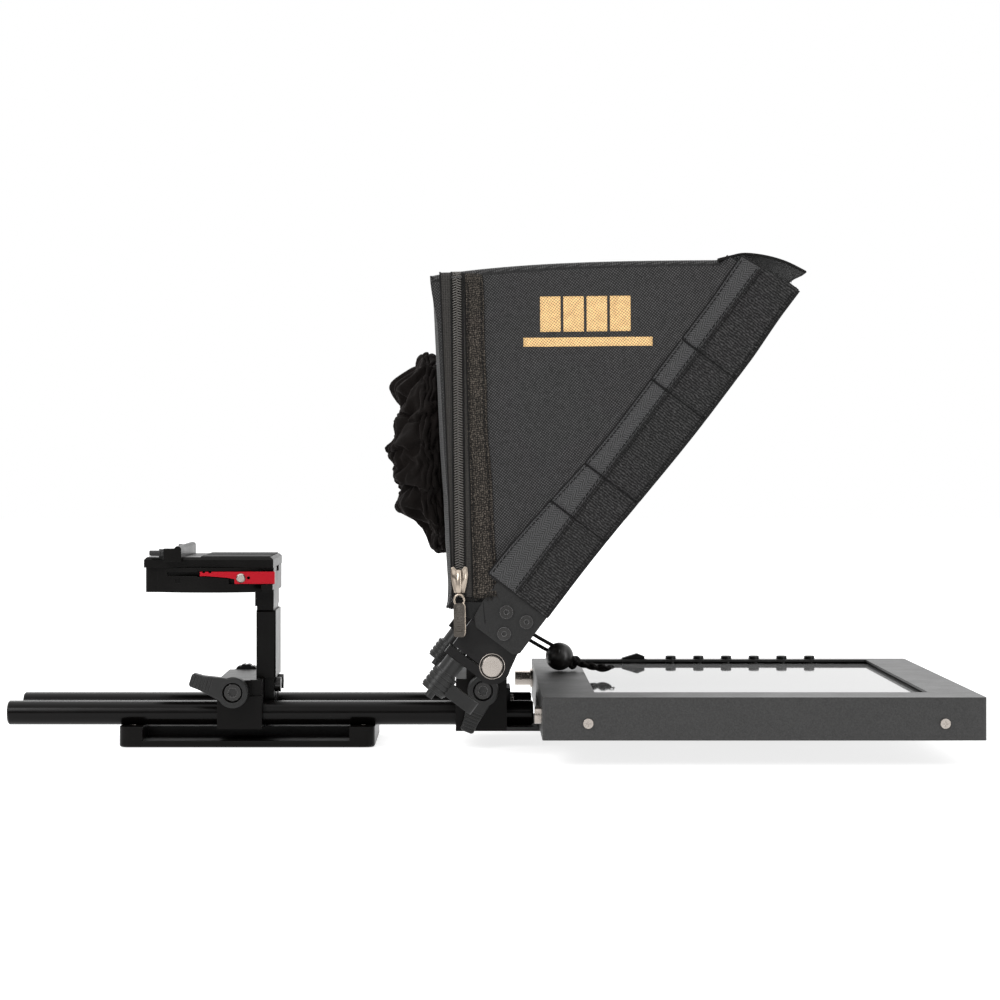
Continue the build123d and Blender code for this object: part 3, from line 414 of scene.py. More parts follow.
def printed_gold():
    """Gold print that lies on the crowns of the weave and has rubbed off in its gaps."""
    shader = Shader("printed_gold", 0.6)
    crowns = hood_crowns(shader)
    tone_mask = shader.noise(shader.place(), 300, 4)
    gold = shader.blend(shader.spread(tone_mask, 0.35, 0.75, 0, 1), (0.80, 0.52, 0.22), (0.60, 0.37, 0.15))
    printed = shader.blend(shader.spread(crowns, 0.05, 0.35, 0, 1), (0.10, 0.06, 0.03), gold)
    return shader.finish(Base_Color=printed, Normal=shader.bump(crowns, 0.0002, 0.8))


# Where a material below sets a strong edge highlight or lift, the lighter colour on its rounded edges is a painted
# highlight.
anodised = grained("anodised", (0.0020, 0.0017, 0.0015), 0.3, wear=0.04, gloss=0.1)
rod_finish = grained("rod_finish", (0.0014, 0.0011, 0.0010), 0.22, grain=0.00001, wear=0.02, gloss=0.14)
bracket_paint = grained("bracket_paint", (0.0085, 0.0083, 0.0082), 0.46, grain=0.00014, scale=2200, speckle=0.45,
                        gloss=0.28)
lever_plastic = grained("lever_plastic", (0.0060, 0.0060, 0.0058), 0.36, grain=0.00012, scale=1900, edge=0.0006,
                        edge_highlight=1.0, gloss=0.32)
dark_steel = grained("dark_steel", (0.008, 0.0072, 0.0068), 0.26, grain=0.000004, edge=0.0005, edge_highlight=1.0, lift=0.16,
                     gloss=0.4)
arm_paint = grained("arm_paint", (0.0045, 0.0042, 0.0042), 0.4, grain=0.00008, lift=0.06, gloss=0.17)
button_plastic = grained("button_plastic", grey(0.0035), 0.35, gloss=0.35)
monitor_paint = grained("monitor_paint", (0.0150, 0.0147, 0.0145), 0.42, grain=0.0004, scale=1300, wear=0.05,
                        speckle=0.4)
red_finish = grained("red_finish", (0.32, 0.0012, 0.0085), 0.3, grain=0.00002, wear=0.0, edge_highlight=0.5, gloss=0.16)
bright_steel = brushed("bright_steel", (0.43, 0.39, 0.355), 0.27)
slider_metal = brushed("slider_metal", (0.40, 0.34, 0.28), 0.3)
tab_metal = grained("tab_metal", (0.055, 0.047, 0.039), 0.45, 0.4, grain=0.0007, scale=1100, wear=0.5, edge_highlight=0.5)
nylon = coated_nylon()
lining = plain_cloth("lining", grey(0.002), grey(0.012), 0.0008)
binding = plain_cloth("binding", (0.0025, 0.0023, 0.0021), (0.034, 0.030, 0.028), 0.0009, 0.0003)
zip_cloth = plain_cloth("zip_cloth", (0.002, 0.0018, 0.0017), (0.036, 0.0335, 0.031), 0.0010, 0.0003)
webbing = webbing_cloth()
pile = loop_pile()
sock_material = sock_cloth()
strap_tape = herringbone()
selvage = plain_cloth("selvage", grey(0.006), (0.062, 0.060, 0.058), 0.0009, 0.0003)
# Thread for the stitches and loose threads; the strap's dark lines at its rear edge and seams use it too, partly as
# painted shade.
thread = plain_cloth("thread", grey(0.0008), grey(0.007), 0.0005, 0.0001, None, sheen=0.0)
cord_material = plain_cloth("cord_braid", (0.0015, 0.0014, 0.0013), (0.016, 0.0145, 0.0135), 0.0007, 0.0003, None,
                            sheen=0.0)
coil_plastic = grained("coil_plastic", (0.065, 0.060, 0.054), 0.3, grain=0.00001)
ball_plastic = grained("ball_plastic", (0.010, 0.0088, 0.0078), 0.32, grain=0.000004, wear=0.03)
rubber = grained("rubber", grey(0.006), 0.8, grain=0.0002, scale=1500)
white_plastic = grained("white_plastic", (0.78, 0.78, 0.75), 0.5)

CAD_LOOKS = {
    anodised: ["base_plate", "riser_clamp_block", "riser_post", "quick_release_body", "camera_plate",
               "plate_stop", "front_clamp_block"],
    rod_finish: ["near_rod", "far_rod"],
    bracket_paint: ["monitor_bracket", "near_side_plate", "far_side_plate", "frame_rails"],
    arm_paint: ["near_arm", "far_arm"],
    lever_plastic: ["riser_clamp_lever", "riser_clamp_knob", "front_clamp_lever", "front_clamp_knob",
                    "near_tilt_lever", "far_tilt_lever", "stop_screw"],
    bright_steel: ["quick_release_pin", "screw_washer", "camera_screw", "pivot_shaft", "monitor_screws",
                   "bnc_connector", "power_jack", "base_screws"],
    dark_steel: ["riser_post_screws", "riser_lever_screw", "front_lever_screw", "arm_screws"],
    red_finish: ["quick_release_lever"],
    monitor_paint: ["monitor_case", "monitor_back", "monitor_posts"],
    rubber: ["camera_pads"],
    screen_surface(): ["lcd_panel"],
    white_plastic: ["lcd_backlight"],
    circuit_board(): ["circuit_boards"],
    button_plastic: ["rocker_switch"] + [f"button_{number}" for number in range(1, 7)],
    mirror_glass(): ["beamsplitter_glass"],
    ball_plastic: ["cord_lock"],
    cord_material: ["cord_knot"],
    slider_metal: ["zip_slider", "zip_puller"],
}
for look, names in CAD_LOOKS.items():
    for name in names:
        for material_slot in frame["nodes"][name].material_slots:
            material_slot.material = look


# --- mesh helpers
def link(name, mesh, material, body=MIRROR):
    """Makes a piece of a mesh, with its material and its slot, and rides it on a body where one is given."""
    piece = add_object(name, mesh)
    mesh.materials.append(material)
    mesh.shade_smooth()
    if body:
        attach(piece, body)
    return piece


def settle(piece):
    """Applies the modifiers to the mesh."""
    graph = bpy.context.evaluated_depsgraph_get()
    mesh = bpy.data.meshes.new_from_object(piece.evaluated_get(graph))
    piece.modifiers.clear()
    piece.data = mesh
    return piece


def thicken(piece, thickness, inner=None, offset=-1):
    """Gives a sheet its thickness, and its other face the inner material where there is one."""
    if inner:
        piece.data.materials.append(inner)
    solid = piece.modifiers.new("thick", "SOLIDIFY")
    solid.thickness = thickness
    solid.offset = offset
    solid.material_offset = 1 if inner else 0
    return settle(piece)


def face_along(mesh, direction, index=0):
    """Turns a sheet over if one of its faces looks away from a direction."""
    if mesh.polygons[index].normal.dot(direction) < 0:
        mesh.flip_normals()


def line_of(place, steps):
    """Points place(share), for shares from 0 to 1."""
    return [place(step / steps) for step in range(steps + 1)]


def top_view(place, s, t):
    return place.y, place.x


def sheet_mesh(name, point, across, along, cloth=None, closed=False):
    """A grid of points point(s, t), with its cloth coordinates in metres kept as a UV map."""
    columns = across if closed else across + 1
    mesh = bpy.data.meshes.new(name)
    shares = [(i / across, j / along) for j in range(along + 1) for i in range(columns)]
    places = [point(s, t) for s, t in shares]
    faces = []
    for j in range(along):
        for i in range(across):
            k = (i + 1) % columns
            faces.append((j * columns + i, j * columns + k, (j + 1) * columns + k, (j + 1) * columns + i))
    mesh.from_pydata(places, [], faces)
    uvs = [cloth(place, s, t) if cloth else slope_parts(place) for place, (s, t) in zip(places, shares)]
    layer = mesh.uv_layers.new(name="cloth")
    for loop in mesh.loops:
        layer.data[loop.index].uv = uvs[loop.vertex_index]
    return mesh


def tube_mesh(points, radius, sides):
    """A round tube through points, closed at its ends."""
    mesh = bpy.data.meshes.new("tube")
    verts, faces = [], []
    normal = None
    for index, here in enumerate(points):
        ahead = (points[min(index + 1, len(points) - 1)] - points[max(index - 1, 0)]).normalized()
        if normal is None:
            normal = ahead.orthogonal().normalized()
        normal = (normal - ahead * normal.dot(ahead)).normalized()
        second = ahead.cross(normal)
        for side in range(sides):
            turn = 2 * math.pi * side / sides
            verts.append(here + (normal * math.cos(turn) + second * math.sin(turn)) * radius)
    for index in range(len(points) - 1):
        for side in range(sides):
            after = (side + 1) % sides
            faces.append((index * sides + side, index * sides + after,
                          (index + 1) * sides + after, (index + 1) * sides + side))
    faces.append(tuple(reversed(range(sides))))
    faces.append(tuple(range((len(points) - 1) * sides, len(points) * sides)))
    mesh.from_pydata(verts, [], faces)
    return mesh


def tube(name, points, radius, sides, material, body=MIRROR):
    return link(name, tube_mesh(points, radius, sides), material, body)


def join(name, meshes, material, body=MIRROR):
    """One piece of several meshes."""
    whole = bmesh.new()
    for mesh in meshes:
        whole.from_mesh(mesh)
        bpy.data.meshes.remove(mesh)
    mesh = bpy.data.meshes.new(name)
    whole.to_mesh(mesh)
    whole.free()
    return link(name, mesh, material, body)


STITCH_ARCH = ((0, -0.9), (0.12, 0.3), (0.35, 0.75), (0.65, 0.75), (0.88, 0.3), (1, -0.9))


def stitches(name, route, outward, length, pitch, gauge=0.28):
    """A row of sewn stitches along a route: each a short bulging thread that dips at both ends."""
    count = max(2, round(length / pitch))
    meshes = []
    for index in range(count):
        start = route((index + 0.14) / count)
        end = route((index + 0.86) / count)
        middle = [start.lerp(end, share) + outward * (gauge * MM * rise) for share, rise in STITCH_ARCH]
        meshes.append(tube_mesh(middle, gauge * MM, 6))
    join(name, meshes, thread)


def shaken_by(randomly, reach):
    """A random step of up to this reach along each axis."""
    return Vector([randomly.uniform(-1, 1) for _ in range(3)]) * reach


def wrinkle(p, size, seed=0.0):
    """Smooth noise from -1 to 1 at a place, with features of a given size in metres."""
    return noise.noise(Vector((p.x / size + seed, p.y / size - seed, p.z / size + 2 * seed)))


# --- drawcord of the hood's hem
CORD_RADIUS = 1.2 * MM
STRANDS = {
    "a": [(0.1456, 0.0410, 0.1020), (0.1496, 0.0413, 0.0950), (0.1586, 0.0422, 0.0812),
          (0.1690, 0.0430, 0.0694), (0.1801, 0.0429, 0.0618), (0.1906, 0.0424, 0.0562)],
    "b": [(0.1431, 0.0455, 0.1005), (0.1470, 0.0456, 0.0936), (0.1552, 0.0460, 0.0790),
          (0.1652, 0.0463, 0.0666), (0.1765, 0.0458, 0.0586), (0.1873, 0.0449, 0.0529)],
}


def nurbs_points(route):
    """Points read from a smooth NURBS line that a route's points control."""
    curve = bpy.data.curves.new("route", "CURVE")
    curve.dimensions = "3D"
    spline = curve.splines.new("NURBS")
    spline.points.add(len(route) - 1)
    for point, place in zip(spline.points, route):
        point.co = (*place, 1)
    spline.order_u = 3
    spline.use_endpoint_u = True
    spline.resolution_u = 10
    holder = add_object("route", curve)
    bpy.context.view_layer.update()
    line = bpy.data.meshes.new_from_object(holder.evaluated_get(bpy.context.evaluated_depsgraph_get()))
    points = [vertex.co.copy() for vertex in line.vertices]
    bpy.data.objects.remove(holder)
    bpy.data.meshes.remove(line)
    return points


def length_of(points):
    return sum((b - a).length for a, b in zip(points, points[1:]))


def make_strands():
    for letter, route in STRANDS.items():
        points = nurbs_points(route)
        strand = tube(f"drawcord_{letter}", points, CORD_RADIUS, 14, cord_material, None)
        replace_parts(strand, f"lock_cord_{letter}")
        round(length_of(points), 4)
        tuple(points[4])
        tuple(points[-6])
        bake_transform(strand)


def make_knot():
    """The two strands leave the lock, are knotted together and end in a frayed, twisted tail."""
    low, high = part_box("cord_knot")
    side = Vector((0, 1, 0))
    middle = Vector((low.x + 0.6 * MM, (low.y + high.y) / 2, low.z + 6.2 * MM))
    end = Vector((low.x + 21.5 * MM, middle.y - 16 * MM, low.z + 3.2 * MM))
    ahead = (end - middle).normalized()
    top = Vector((0.2, 0, 1)).normalized()
    forward = side.cross(top)
    turns = 84
    loop = []
    for index in range(turns):
        angle = 2 * math.pi * index / turns
        a = math.sin(angle) + 2 * math.sin(2 * angle)
        b = math.cos(angle) - 2 * math.cos(2 * angle)
        loop.append(middle + forward * (a * 1.05 * MM) + top * (b * 1.15 * MM)
                    - side * (math.sin(3 * angle) * 1.6 * MM))
    meshes = [tube_mesh(loop + loop[:2], 1.7 * MM, 12)]
    randomly = random.Random(5)
    reach = (end - middle).length / MM
    across = ahead.cross(side).normalized()
    level = across.cross(ahead)
    for offset in (-1, 1):
        def tail_place(share):
            distance = 1 + (reach - 1 + offset * 1.2) * share
            twist = distance * 0.42 + offset * math.pi / 2
            spread = 0.9 + 0.8 * smooth(distance, 4, reach)
            sag = 0.7 * math.sin(math.pi * share)
            return (middle + ahead * (distance * MM) + across * ((math.sin(twist) * spread * 0.7 - sag) * MM)
                    + level * (math.cos(twist) * spread * MM))

        tail = line_of(tail_place, 32)
        meshes.append(tube_mesh(tail, 1.5 * MM, 12))
        for _ in range(14):
            swing = shaken_by(randomly, 1.5 * MM)
            swing.z = abs(swing.z) * 0.6
            hair = [tail[-1] - ahead * MM, tail[-1] + swing * 0.6, tail[-1] + ahead * (2.2 * MM) + swing]
            meshes.append(tube_mesh(hair, 0.2 * MM, 5))

    def stray_place(share):
        turn = 1.5 * math.pi * share
        return end + Vector((4.2 * math.sin(turn), 3.6 * (math.cos(turn) - 1), 1.1 + 0.9 * math.sin(turn * 2))) * MM

    meshes.append(tube_mesh(line_of(stray_place, 19), 0.3 * MM, 6))
    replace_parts(join("drawcord_knot", meshes, cord_material, FRONT), "cord_knot")


make_strands()
make_knot()


# --- the hood's form
HOOD_OFF = -30.5                 # off the slope, in millimetres, where the hood starts
HOOD_FRONT = HOOD_OFF * MM
HOOD_HALF = 127 * MM
HOOD_REAR_HALF = 100 * MM
REAR_TOP = Vector((113.3, 0, 285.3)) * MM
REAR_BOTTOM = Vector((123.6, 0, 89.5)) * MM
FRONT_TOP = slope_point(274, HOOD_OFF, 0)
FRONT_BOTTOM = slope_point(36, HOOD_OFF, 0)
LEAN = (HOOD_HALF - HOOD_REAR_HALF) / (HOOD_FRONT - slope_parts(REAR_TOP)[1])
REAR_OUT = Vector((0, 1, 0)).cross((REAR_BOTTOM - REAR_TOP).normalized())
CLOTH = 1.1 * MM
FILLET = 4.5 * MM


def on_side(x, z, side):
    """The flat side of the hood at this x and z, before it ripples."""
    off = slope_parts(Vector((x, 0, z)))[1]
    return Vector((x, side * (HOOD_HALF - LEAN * (HOOD_FRONT - off)), z))


def half_width(place):
    """Half the hood's width at a place's x and z."""
    return abs(on_side(place.x, place.z, 1).y)


def outward(side):
    return (Vector((0, side, 0)) - OFF * LEAN).normalized()


def rear_bow(z):
    """How far forward the hood's rear edge is pulled in between its sewn corners."""
    down = (REAR_TOP.z - z) / MM
    return (3.0 * smooth(down, 2, 32) + 1.4 * smooth(down, 100, 160) - 3.4 * smooth(down, 178, 196)) * MM


def crown(t):
    """How far the top edge bulges up, from the rear (0) to the front (1)."""
    return 3.6 * MM * math.sin(math.pi * t ** 0.75)


def rippled(place, side):
    """The hood's side cloth: almost flat, with slow shallow waves between its sewn edges."""
    from_front = smooth(HOOD_FRONT - slope_parts(place)[1], 0.004, 0.03)
    from_rear = smooth((place - REAR_TOP).dot(-REAR_OUT), 0.036, 0.07)
    from_top = smooth(0.2885 - place.z, 0.004, 0.04)
    wave = wrinkle(place, 0.075, 3.1 * side) * 1.3 + wrinkle(place, 0.03, 7.7 * side) * 0.35
    return place + outward(side) * ((wave - 0.8) * MM * from_front * from_rear * from_top)


def hood_surface(x, z, side, lift=0.0):
    return rippled(on_side(x, z, side), side) + outward(side) * (lift * MM)


NEAR_END, FILLET_END = 0.36, 0.41       # where the side and its rounded corner end, as shares of the whole wrap


def wrap_point(s, t):
    """The hood's wrap: up the near side (s from 0), over the top and down the far side (to 1)."""
    side = -1 if s <= 0.5 else 1
    s = min(s, 1 - s)
    low = REAR_BOTTOM.lerp(FRONT_BOTTOM, t) - Vector((0, 0, 4.5 * MM * smooth(t, 0.25, 0.8)))
    high = REAR_TOP.lerp(FRONT_TOP, t) + Vector((0, 0, crown(t)))
    foot = on_side(low.x, low.z, side)
    corner = on_side(high.x, high.z, side)
    down = (foot - corner).normalized()
    across = Vector((0, -side, 0))
    if s <= NEAR_END:
        place = foot.lerp(corner + down * FILLET, s / NEAR_END)
        place -= REAR_OUT * (rear_bow(place.z) * (1 - smooth(t, 0, 0.3)))
        return rippled(place, side)
    if s < FILLET_END:
        turn = (s - NEAR_END) / (FILLET_END - NEAR_END)
        a, b = corner + down * FILLET, corner + across * FILLET
        return a.lerp(corner, turn).lerp(corner.lerp(b, turn), turn)
    share = (s - FILLET_END) / (0.5 - FILLET_END)
    width = abs(corner.y) - FILLET
    place = corner + across * (FILLET + width * share)
    y_share = 1 - (place.y / max(width, 1e-6)) ** 2
    sag = 3.2 * MM * y_share * smooth(t, 0, 0.25) * (1 - 0.7 * smooth(t, 0.8, 1))
    return place - Vector((0, 0, sag * (1 + 0.35 * wrinkle(place, 0.06))))


def wrap_cloth(place, s, t):
    return slope_parts(place) if min(s, 1 - s) <= NEAR_END else (place.y, place.x)


def sheet_with_lining(name, point, across, along, cloth=None, flip=False):
    mesh = sheet_mesh(name, point, across, along, cloth)
    if flip:
        mesh.flip_normals()
    return thicken(link(name, mesh, nylon), CLOTH, lining)


AREA_STEPS = 24


def flat_area(point):
    """The area of a sheet's surface, and its longest width and length."""
    grid = [line_of(lambda s: point(s, t / AREA_STEPS), AREA_STEPS) for t in range(AREA_STEPS + 1)]
    area = 0.0
    for low, high in zip(grid, grid[1:]):
        for a, b, c, d in zip(low, low[1:], high[1:], high):
            area += ((b - a).cross(c - a).length + (c - a).cross(d - a).length) / 2
    return area, round(max(map(length_of, grid)), 4), round(max(map(length_of, zip(*grid))), 4)


def declare(point):
    area, width, length = flat_area(point)


wrap = sheet_with_lining("hood_wrap", wrap_point, 100, 56, wrap_cloth, flip=True)
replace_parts(wrap, "hood_near_panel", "hood_far_panel", "hood_top_panel")
declare(wrap_point)


def floor_point(s, t):
    """The hood's bottom panel."""
    low = REAR_BOTTOM.lerp(FRONT_BOTTOM, t)
    edge = half_width(low) - 0.3 * MM
    y = edge * (2 * s - 1)
    return Vector((low.x, y, low.z)) - Vector((0, 0, 1.2 * MM * (1 - (y / edge) ** 2)))


bottom = sheet_with_lining("hood_bottom", floor_point, 50, 8, top_view)
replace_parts(bottom, "hood_bottom_panel")
declare(floor_point)

SOCK_Z = (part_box("camera_sock")[0].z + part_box("camera_sock")[1].z) / 2
SOCK_CENTRE = REAR_TOP.lerp(REAR_BOTTOM, (REAR_TOP.z - SOCK_Z) / (REAR_TOP.z - REAR_BOTTOM.z))
REAR_UP = (REAR_TOP - REAR_BOTTOM).normalized()
HOLE = 57 * MM
UP_ROOM = (REAR_TOP - SOCK_CENTRE).dot(REAR_UP)
DOWN_ROOM = (SOCK_CENTRE - REAR_BOTTOM).dot(REAR_UP)
TOP_HALF, BOTTOM_HALF = half_width(REAR_TOP), half_width(REAR_BOTTOM)
REAR_SLANT = (BOTTOM_HALF - TOP_HALF) / (UP_ROOM + DOWN_ROOM)
REAR_STEPS = 160


def rear_direction(angle):
    """Away from the sock's centre in the rear panel's plane."""
    return Vector((0, math.cos(angle), 0)) + REAR_UP * math.sin(angle)


def rear_edge(angle):
    """How far the rear panel's edge is from the sock's centre in this direction."""
    direction = rear_direction(angle)
    rise = direction.dot(REAR_UP)
    reaches = [1.0]
    if abs(rise) > 1e-6:
        reaches.append(UP_ROOM / rise if rise > 0 else -DOWN_ROOM / rise)
    rate = abs(direction.y) + REAR_SLANT * rise
    if rate > 1e-6:
        reaches.append((TOP_HALF + REAR_SLANT * UP_ROOM) / rate)
    return min(reaches)


rear_angles = [2 * math.pi * step / REAR_STEPS for step in range(REAR_STEPS)]
for half, rise in ((TOP_HALF, UP_ROOM), (BOTTOM_HALF, -DOWN_ROOM)):
    for side in (-1, 1):
        corner_angle = math.atan2(rise, side * half) % (2 * math.pi)
        nearest = min(range(REAR_STEPS), key=lambda step: abs(rear_angles[step] - corner_angle))
        rear_angles[nearest] = corner_angle


def rear_point(s, t):
    """The rear panel, from its round hole (t of 0) to its edge (t of 1)."""
    angle = rear_angles[round(s * REAR_STEPS) % REAR_STEPS]
    direction = rear_direction(angle)
    place = SOCK_CENTRE + direction * (HOLE + (rear_edge(angle) - HOLE) * t)
    half = half_width(place)
    place -= REAR_OUT * (rear_bow(place.z) * smooth(abs(place.y), half - 30 * MM, half))
    pucker = math.sin(angle * 26 + 2.5 * wrinkle(direction, 0.8)) * (1 - smooth(t, 0, 0.35))
    wave = wrinkle(place, 0.05, 9.0) * smooth(t, 0, 0.3) * (1 - smooth(t, 0.8, 1))
    return place + REAR_OUT * ((0.45 * pucker + 0.7 * wave - 0.9 * smooth(1 - t, 0, 0.3)) * MM)


def make_rear():
    mesh = sheet_mesh("hood_rear", rear_point, REAR_STEPS, 22, lambda place, s, t: (place.y, place.z), closed=True)
    face_along(mesh, REAR_OUT)
    rear = thicken(link("hood_rear", mesh, nylon), CLOTH, lining)
    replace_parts(rear, "hood_rear_panel")


make_rear()


SIDES = (("near", -1), ("far", 1))


def make_lower_bindings():
    """A rolled, bound edge along the bottom of each side of the hood."""
    for name, side in SIDES:
        line = []
        for step in range(61):
            place = wrap_point(0.0 if side < 0 else 1.0, 0.02 + 0.98 * step / 60)
            line.append(place + Vector((0, 0, (0.3 + 0.3 * math.sin(step * 0.8)) * MM)) - outward(side) * (0.6 * MM))
        tube(f"{name}_lower_binding", line, 1.7 * MM, 12, binding)


def make_hem_fold():
    """The turned-under corner of the near side, which hangs below the zip."""
    def point(s, t):
        base = on_side((127.6 + 17.5 * s) * MM, 92 * MM, -1)
        drop = (9.0 + 3.2 * smooth(s, 0.2, 1)) * t
        sway = 0.7 * math.sin(9 * s + 1) * t
        return Vector((base.x + 1.6 * t * MM, base.y + sway * MM, (93.5 - drop) * MM))

    fold = sheet_with_lining("near_hem_fold", point, 24, 16)
    declare(point)


def make_pivot_highlight_rings():
    """A thin bright steel ring around each end of the pivot shaft, a painted highlight on the edge of each arm's
    bore.
    """
    low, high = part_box("pivot_shaft")
    centre = (low + high) / 2
    radius = (high.x - low.x) / 2 + 1.05 * MM
    for name, side in SIDES:
        face = abs(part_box(f"{name}_arm")[0 if side < 0 else 1].y) + 0.05 * MM
        ring = [Vector((centre.x + radius * math.cos(turn), side * face, centre.z + radius * math.sin(turn)))
                for turn in (2 * math.pi * step / 48 for step in range(50))]
        tube(f"{name}_pivot_highlight_ring", ring, 0.24 * MM, 8, bright_steel)


make_lower_bindings()
make_hem_fold()
make_pivot_highlight_rings()


# --- straps beside the mirror frame
# Up the slope and off it from the pivot, and out from the middle, in millimetres.
STRAP_IN = 129.0
STRAP_LOW, STRAP_HIGH = 42.0, 278.0
STRAP_RUN = STRAP_HIGH - STRAP_LOW
STRAP_SEAMS = (97.6, 127.0, 189.4, 218.8)
TAPE_REAR, TAPE_FRONT, PILE_FRONT = -34.2, -15.4, 7.2


def strap_share(up):
    return (up - STRAP_LOW) / STRAP_RUN


def tape_rear(up):
    """The tape's rear edge, which the hood's cloth covers more and more towards the top."""
    return TAPE_REAR + 7.8 * smooth(strap_share(up), 0, 0.5) - 1.2 * smooth(strap_share(up), 0.85, 1)


def tape_front(up):
    return TAPE_FRONT


def pile_front(up):
    """The strap's front edge, which bows forward along the upper half."""
    share = strap_share(up)
    return PILE_FRONT + 0.5 + 4.1 * smooth(share, 0.1, 0.65) - 1.4 * smooth(share, 0.8, 0.95)


def strap_place(up, off, side, lift):
    """A point on the strap's outer face, with a slow bow and a crease at each cross seam; lift in millimetres."""
    share = strap_share(up)
    bow = 0.35 * math.sin(math.pi * share) + 0.28 * wrinkle(Vector((up * MM, off * MM, 0)), 0.03, 4.0 * side)
    tuck = 0.5 * (1 - smooth(off, tape_rear(up), tape_rear(up) + 4))
    crease = sum(1.0 * math.exp(-((up - seam) / 1.3) ** 2) - 0.6 * math.exp(-((up - seam - 3.6) / 1.9) ** 2)
                 for seam in STRAP_SEAMS)
    up += 4.0 * smooth(off, TAPE_REAR, PILE_FRONT) * smooth(share, 0.85, 1)
    return slope_point(up, off, side * (STRAP_IN + lift + bow - tuck - crease))


def make_strap(name, side):
    """A strap: a plain tape and a pile tape side by side, with bound edges, seams, stitches and loose threads."""
    def tape_point(s, t):
        up = STRAP_LOW + STRAP_RUN * t
        off = tape_rear(up) + (TAPE_FRONT + 1.5 - tape_rear(up)) * s
        return strap_place(up, off, side, 0.9)

    def pile_point(s, t):
        up = STRAP_LOW + STRAP_RUN * t
        off = TAPE_FRONT + (pile_front(up) - TAPE_FRONT) * s
        fuzz = wrinkle(Vector((up * MM, off * MM, 0)), 0.0022, 11.0 * side)
        edge = min(smooth(s, 0.04, 0.12), smooth(1 - s, 0.04, 0.12))
        row = 0.1 * math.cos(2 * math.pi * up / 1.5)
        return strap_place(up, off, side, 1.15 + edge * (0.35 + 0.2 * fuzz + row))

    def beside(edge, past, lift, inset=0):
        """The way up the strap beside one of its edges, by a share from 0 to 1."""
        def place(share):
            up = STRAP_LOW + inset + (STRAP_RUN - 2 * inset) * share
            return strap_place(up, edge(up) + past, side, lift)
        return place

    def over(up, lift):
        """The way over the strap at one height, by a share from 0 to 1."""
        return lambda share: strap_place(up, tape_rear(up) + (pile_front(up) - tape_rear(up)) * share, side, lift)

    sideways = Vector((0, side, 0))
    pieces = []
    for label, point, columns, rows, look, thickness in (("tape", tape_point, 14, 260, strap_tape, 1.6),
                                                         ("pile", pile_point, 34, 470, pile, 0.85)):
        mesh = sheet_mesh(label, point, columns, rows)
        face_along(mesh, sideways, len(mesh.polygons) // 2)
        piece = thicken(link(f"{name}_strap_{label}", mesh, look), thickness * MM)
        declare(point)
        pieces.append(piece)
    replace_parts(pieces[0], f"{name}_strap")

    meshes = [tube_mesh(line_of(beside(pile_front, 0.45, 0.95), 118), 0.75 * MM, 10),
              tube_mesh(line_of(beside(tape_front, 0.9, 0.95), 118), 0.42 * MM, 10)]
    meshes += [tube_mesh(line_of(over(up, 0.55), 24), 0.6 * MM, 10) for up in (STRAP_LOW, STRAP_HIGH)]
    join(f"{name}_strap_binding", meshes, selvage)

    inset = 2
    stitched = [(beside(edge, past, lift, inset), STRAP_RUN - 2 * inset, 3.2) for edge, past, lift in
                ((tape_rear, 1.3, 1.0), (tape_front, -0.9, 1.0), (tape_front, 2.2, 1.6), (pile_front, -1.7, 1.6))]
    stitched += [(over(up, 1.5), 32, 2.6) for up in STRAP_SEAMS]
    for index, (route, length, pitch) in enumerate(stitched):
        stitches(f"{name}_strap_stitches_{index}", route, sideways, length, pitch)

    # A dark line along the tape's rear edge, partly the dark seam and partly painted shadow, and one across each
    # cross seam, the stitched seam line deepened by painted shade in its crease; loose threads follow.
    dark_tubes = [tube_mesh(line_of(beside(tape_rear, -0.3, 0.45), 118), 0.6 * MM, 8)]
    dark_tubes += [tube_mesh(line_of(over(up, 1.25), 30), 0.55 * MM, 8) for up in STRAP_SEAMS]
    randomly = random.Random(31 + side)
    for _ in range(12):
        start = strap_place(STRAP_HIGH - 0.3, randomly.uniform(tape_rear(STRAP_HIGH) + 1, PILE_FRONT), side, 0.9)
        lean = shaken_by(randomly, 1.3 * MM)
        reach = randomly.uniform(1.0, 2.6) * MM
        dark_tubes.append(tube_mesh([start, start + UP * (reach * 0.5) + lean * 0.4, start + UP * reach + lean],
                               0.11 * MM, 5))
    join(f"{name}_strap_fringe_and_shade_lines", dark_tubes, thread)


def make_side_hem(name, side):
    """The hood's cloth turned over the edge of the side plate and sewn down under the strap."""
    def point(s, t):
        up, off = STRAP_LOW - 1 + 233 * t, -35.0 + 19.0 * s
        flat = slope_point(up, min(off, -30.6), 0)
        low = abs(hood_surface(flat.x, flat.z, side).y)
        rise = smooth(off, -34.6, -29.6)
        tall = (STRAP_IN + 0.05 + 0.2 * wrinkle(Vector((up * MM, off * MM, 0)), 0.02, 3.0)) * MM
        place = slope_point(up, off, 0)
        return Vector((place.x, side * (low + (tall - low) * rise), place.z))

    hem = sheet_with_lining(f"{name}_side_hem", point, 20, 118, flip=side > 0)
    declare(point)


for make_part in (make_strap, make_side_hem):
    for name, side in SIDES:
        make_part(name, side)


# --- flap over the top of the frame
FLAP_HALF = 126.6 * MM
FLAP_STOPS = [Vector((x, 0, z)) * MM for x, z in
              ((281.5, 293.4), (288.5, 295.2), (297, 296.9), (309, 295.3), (321.5, 291.6), (332.4, 286.3))]


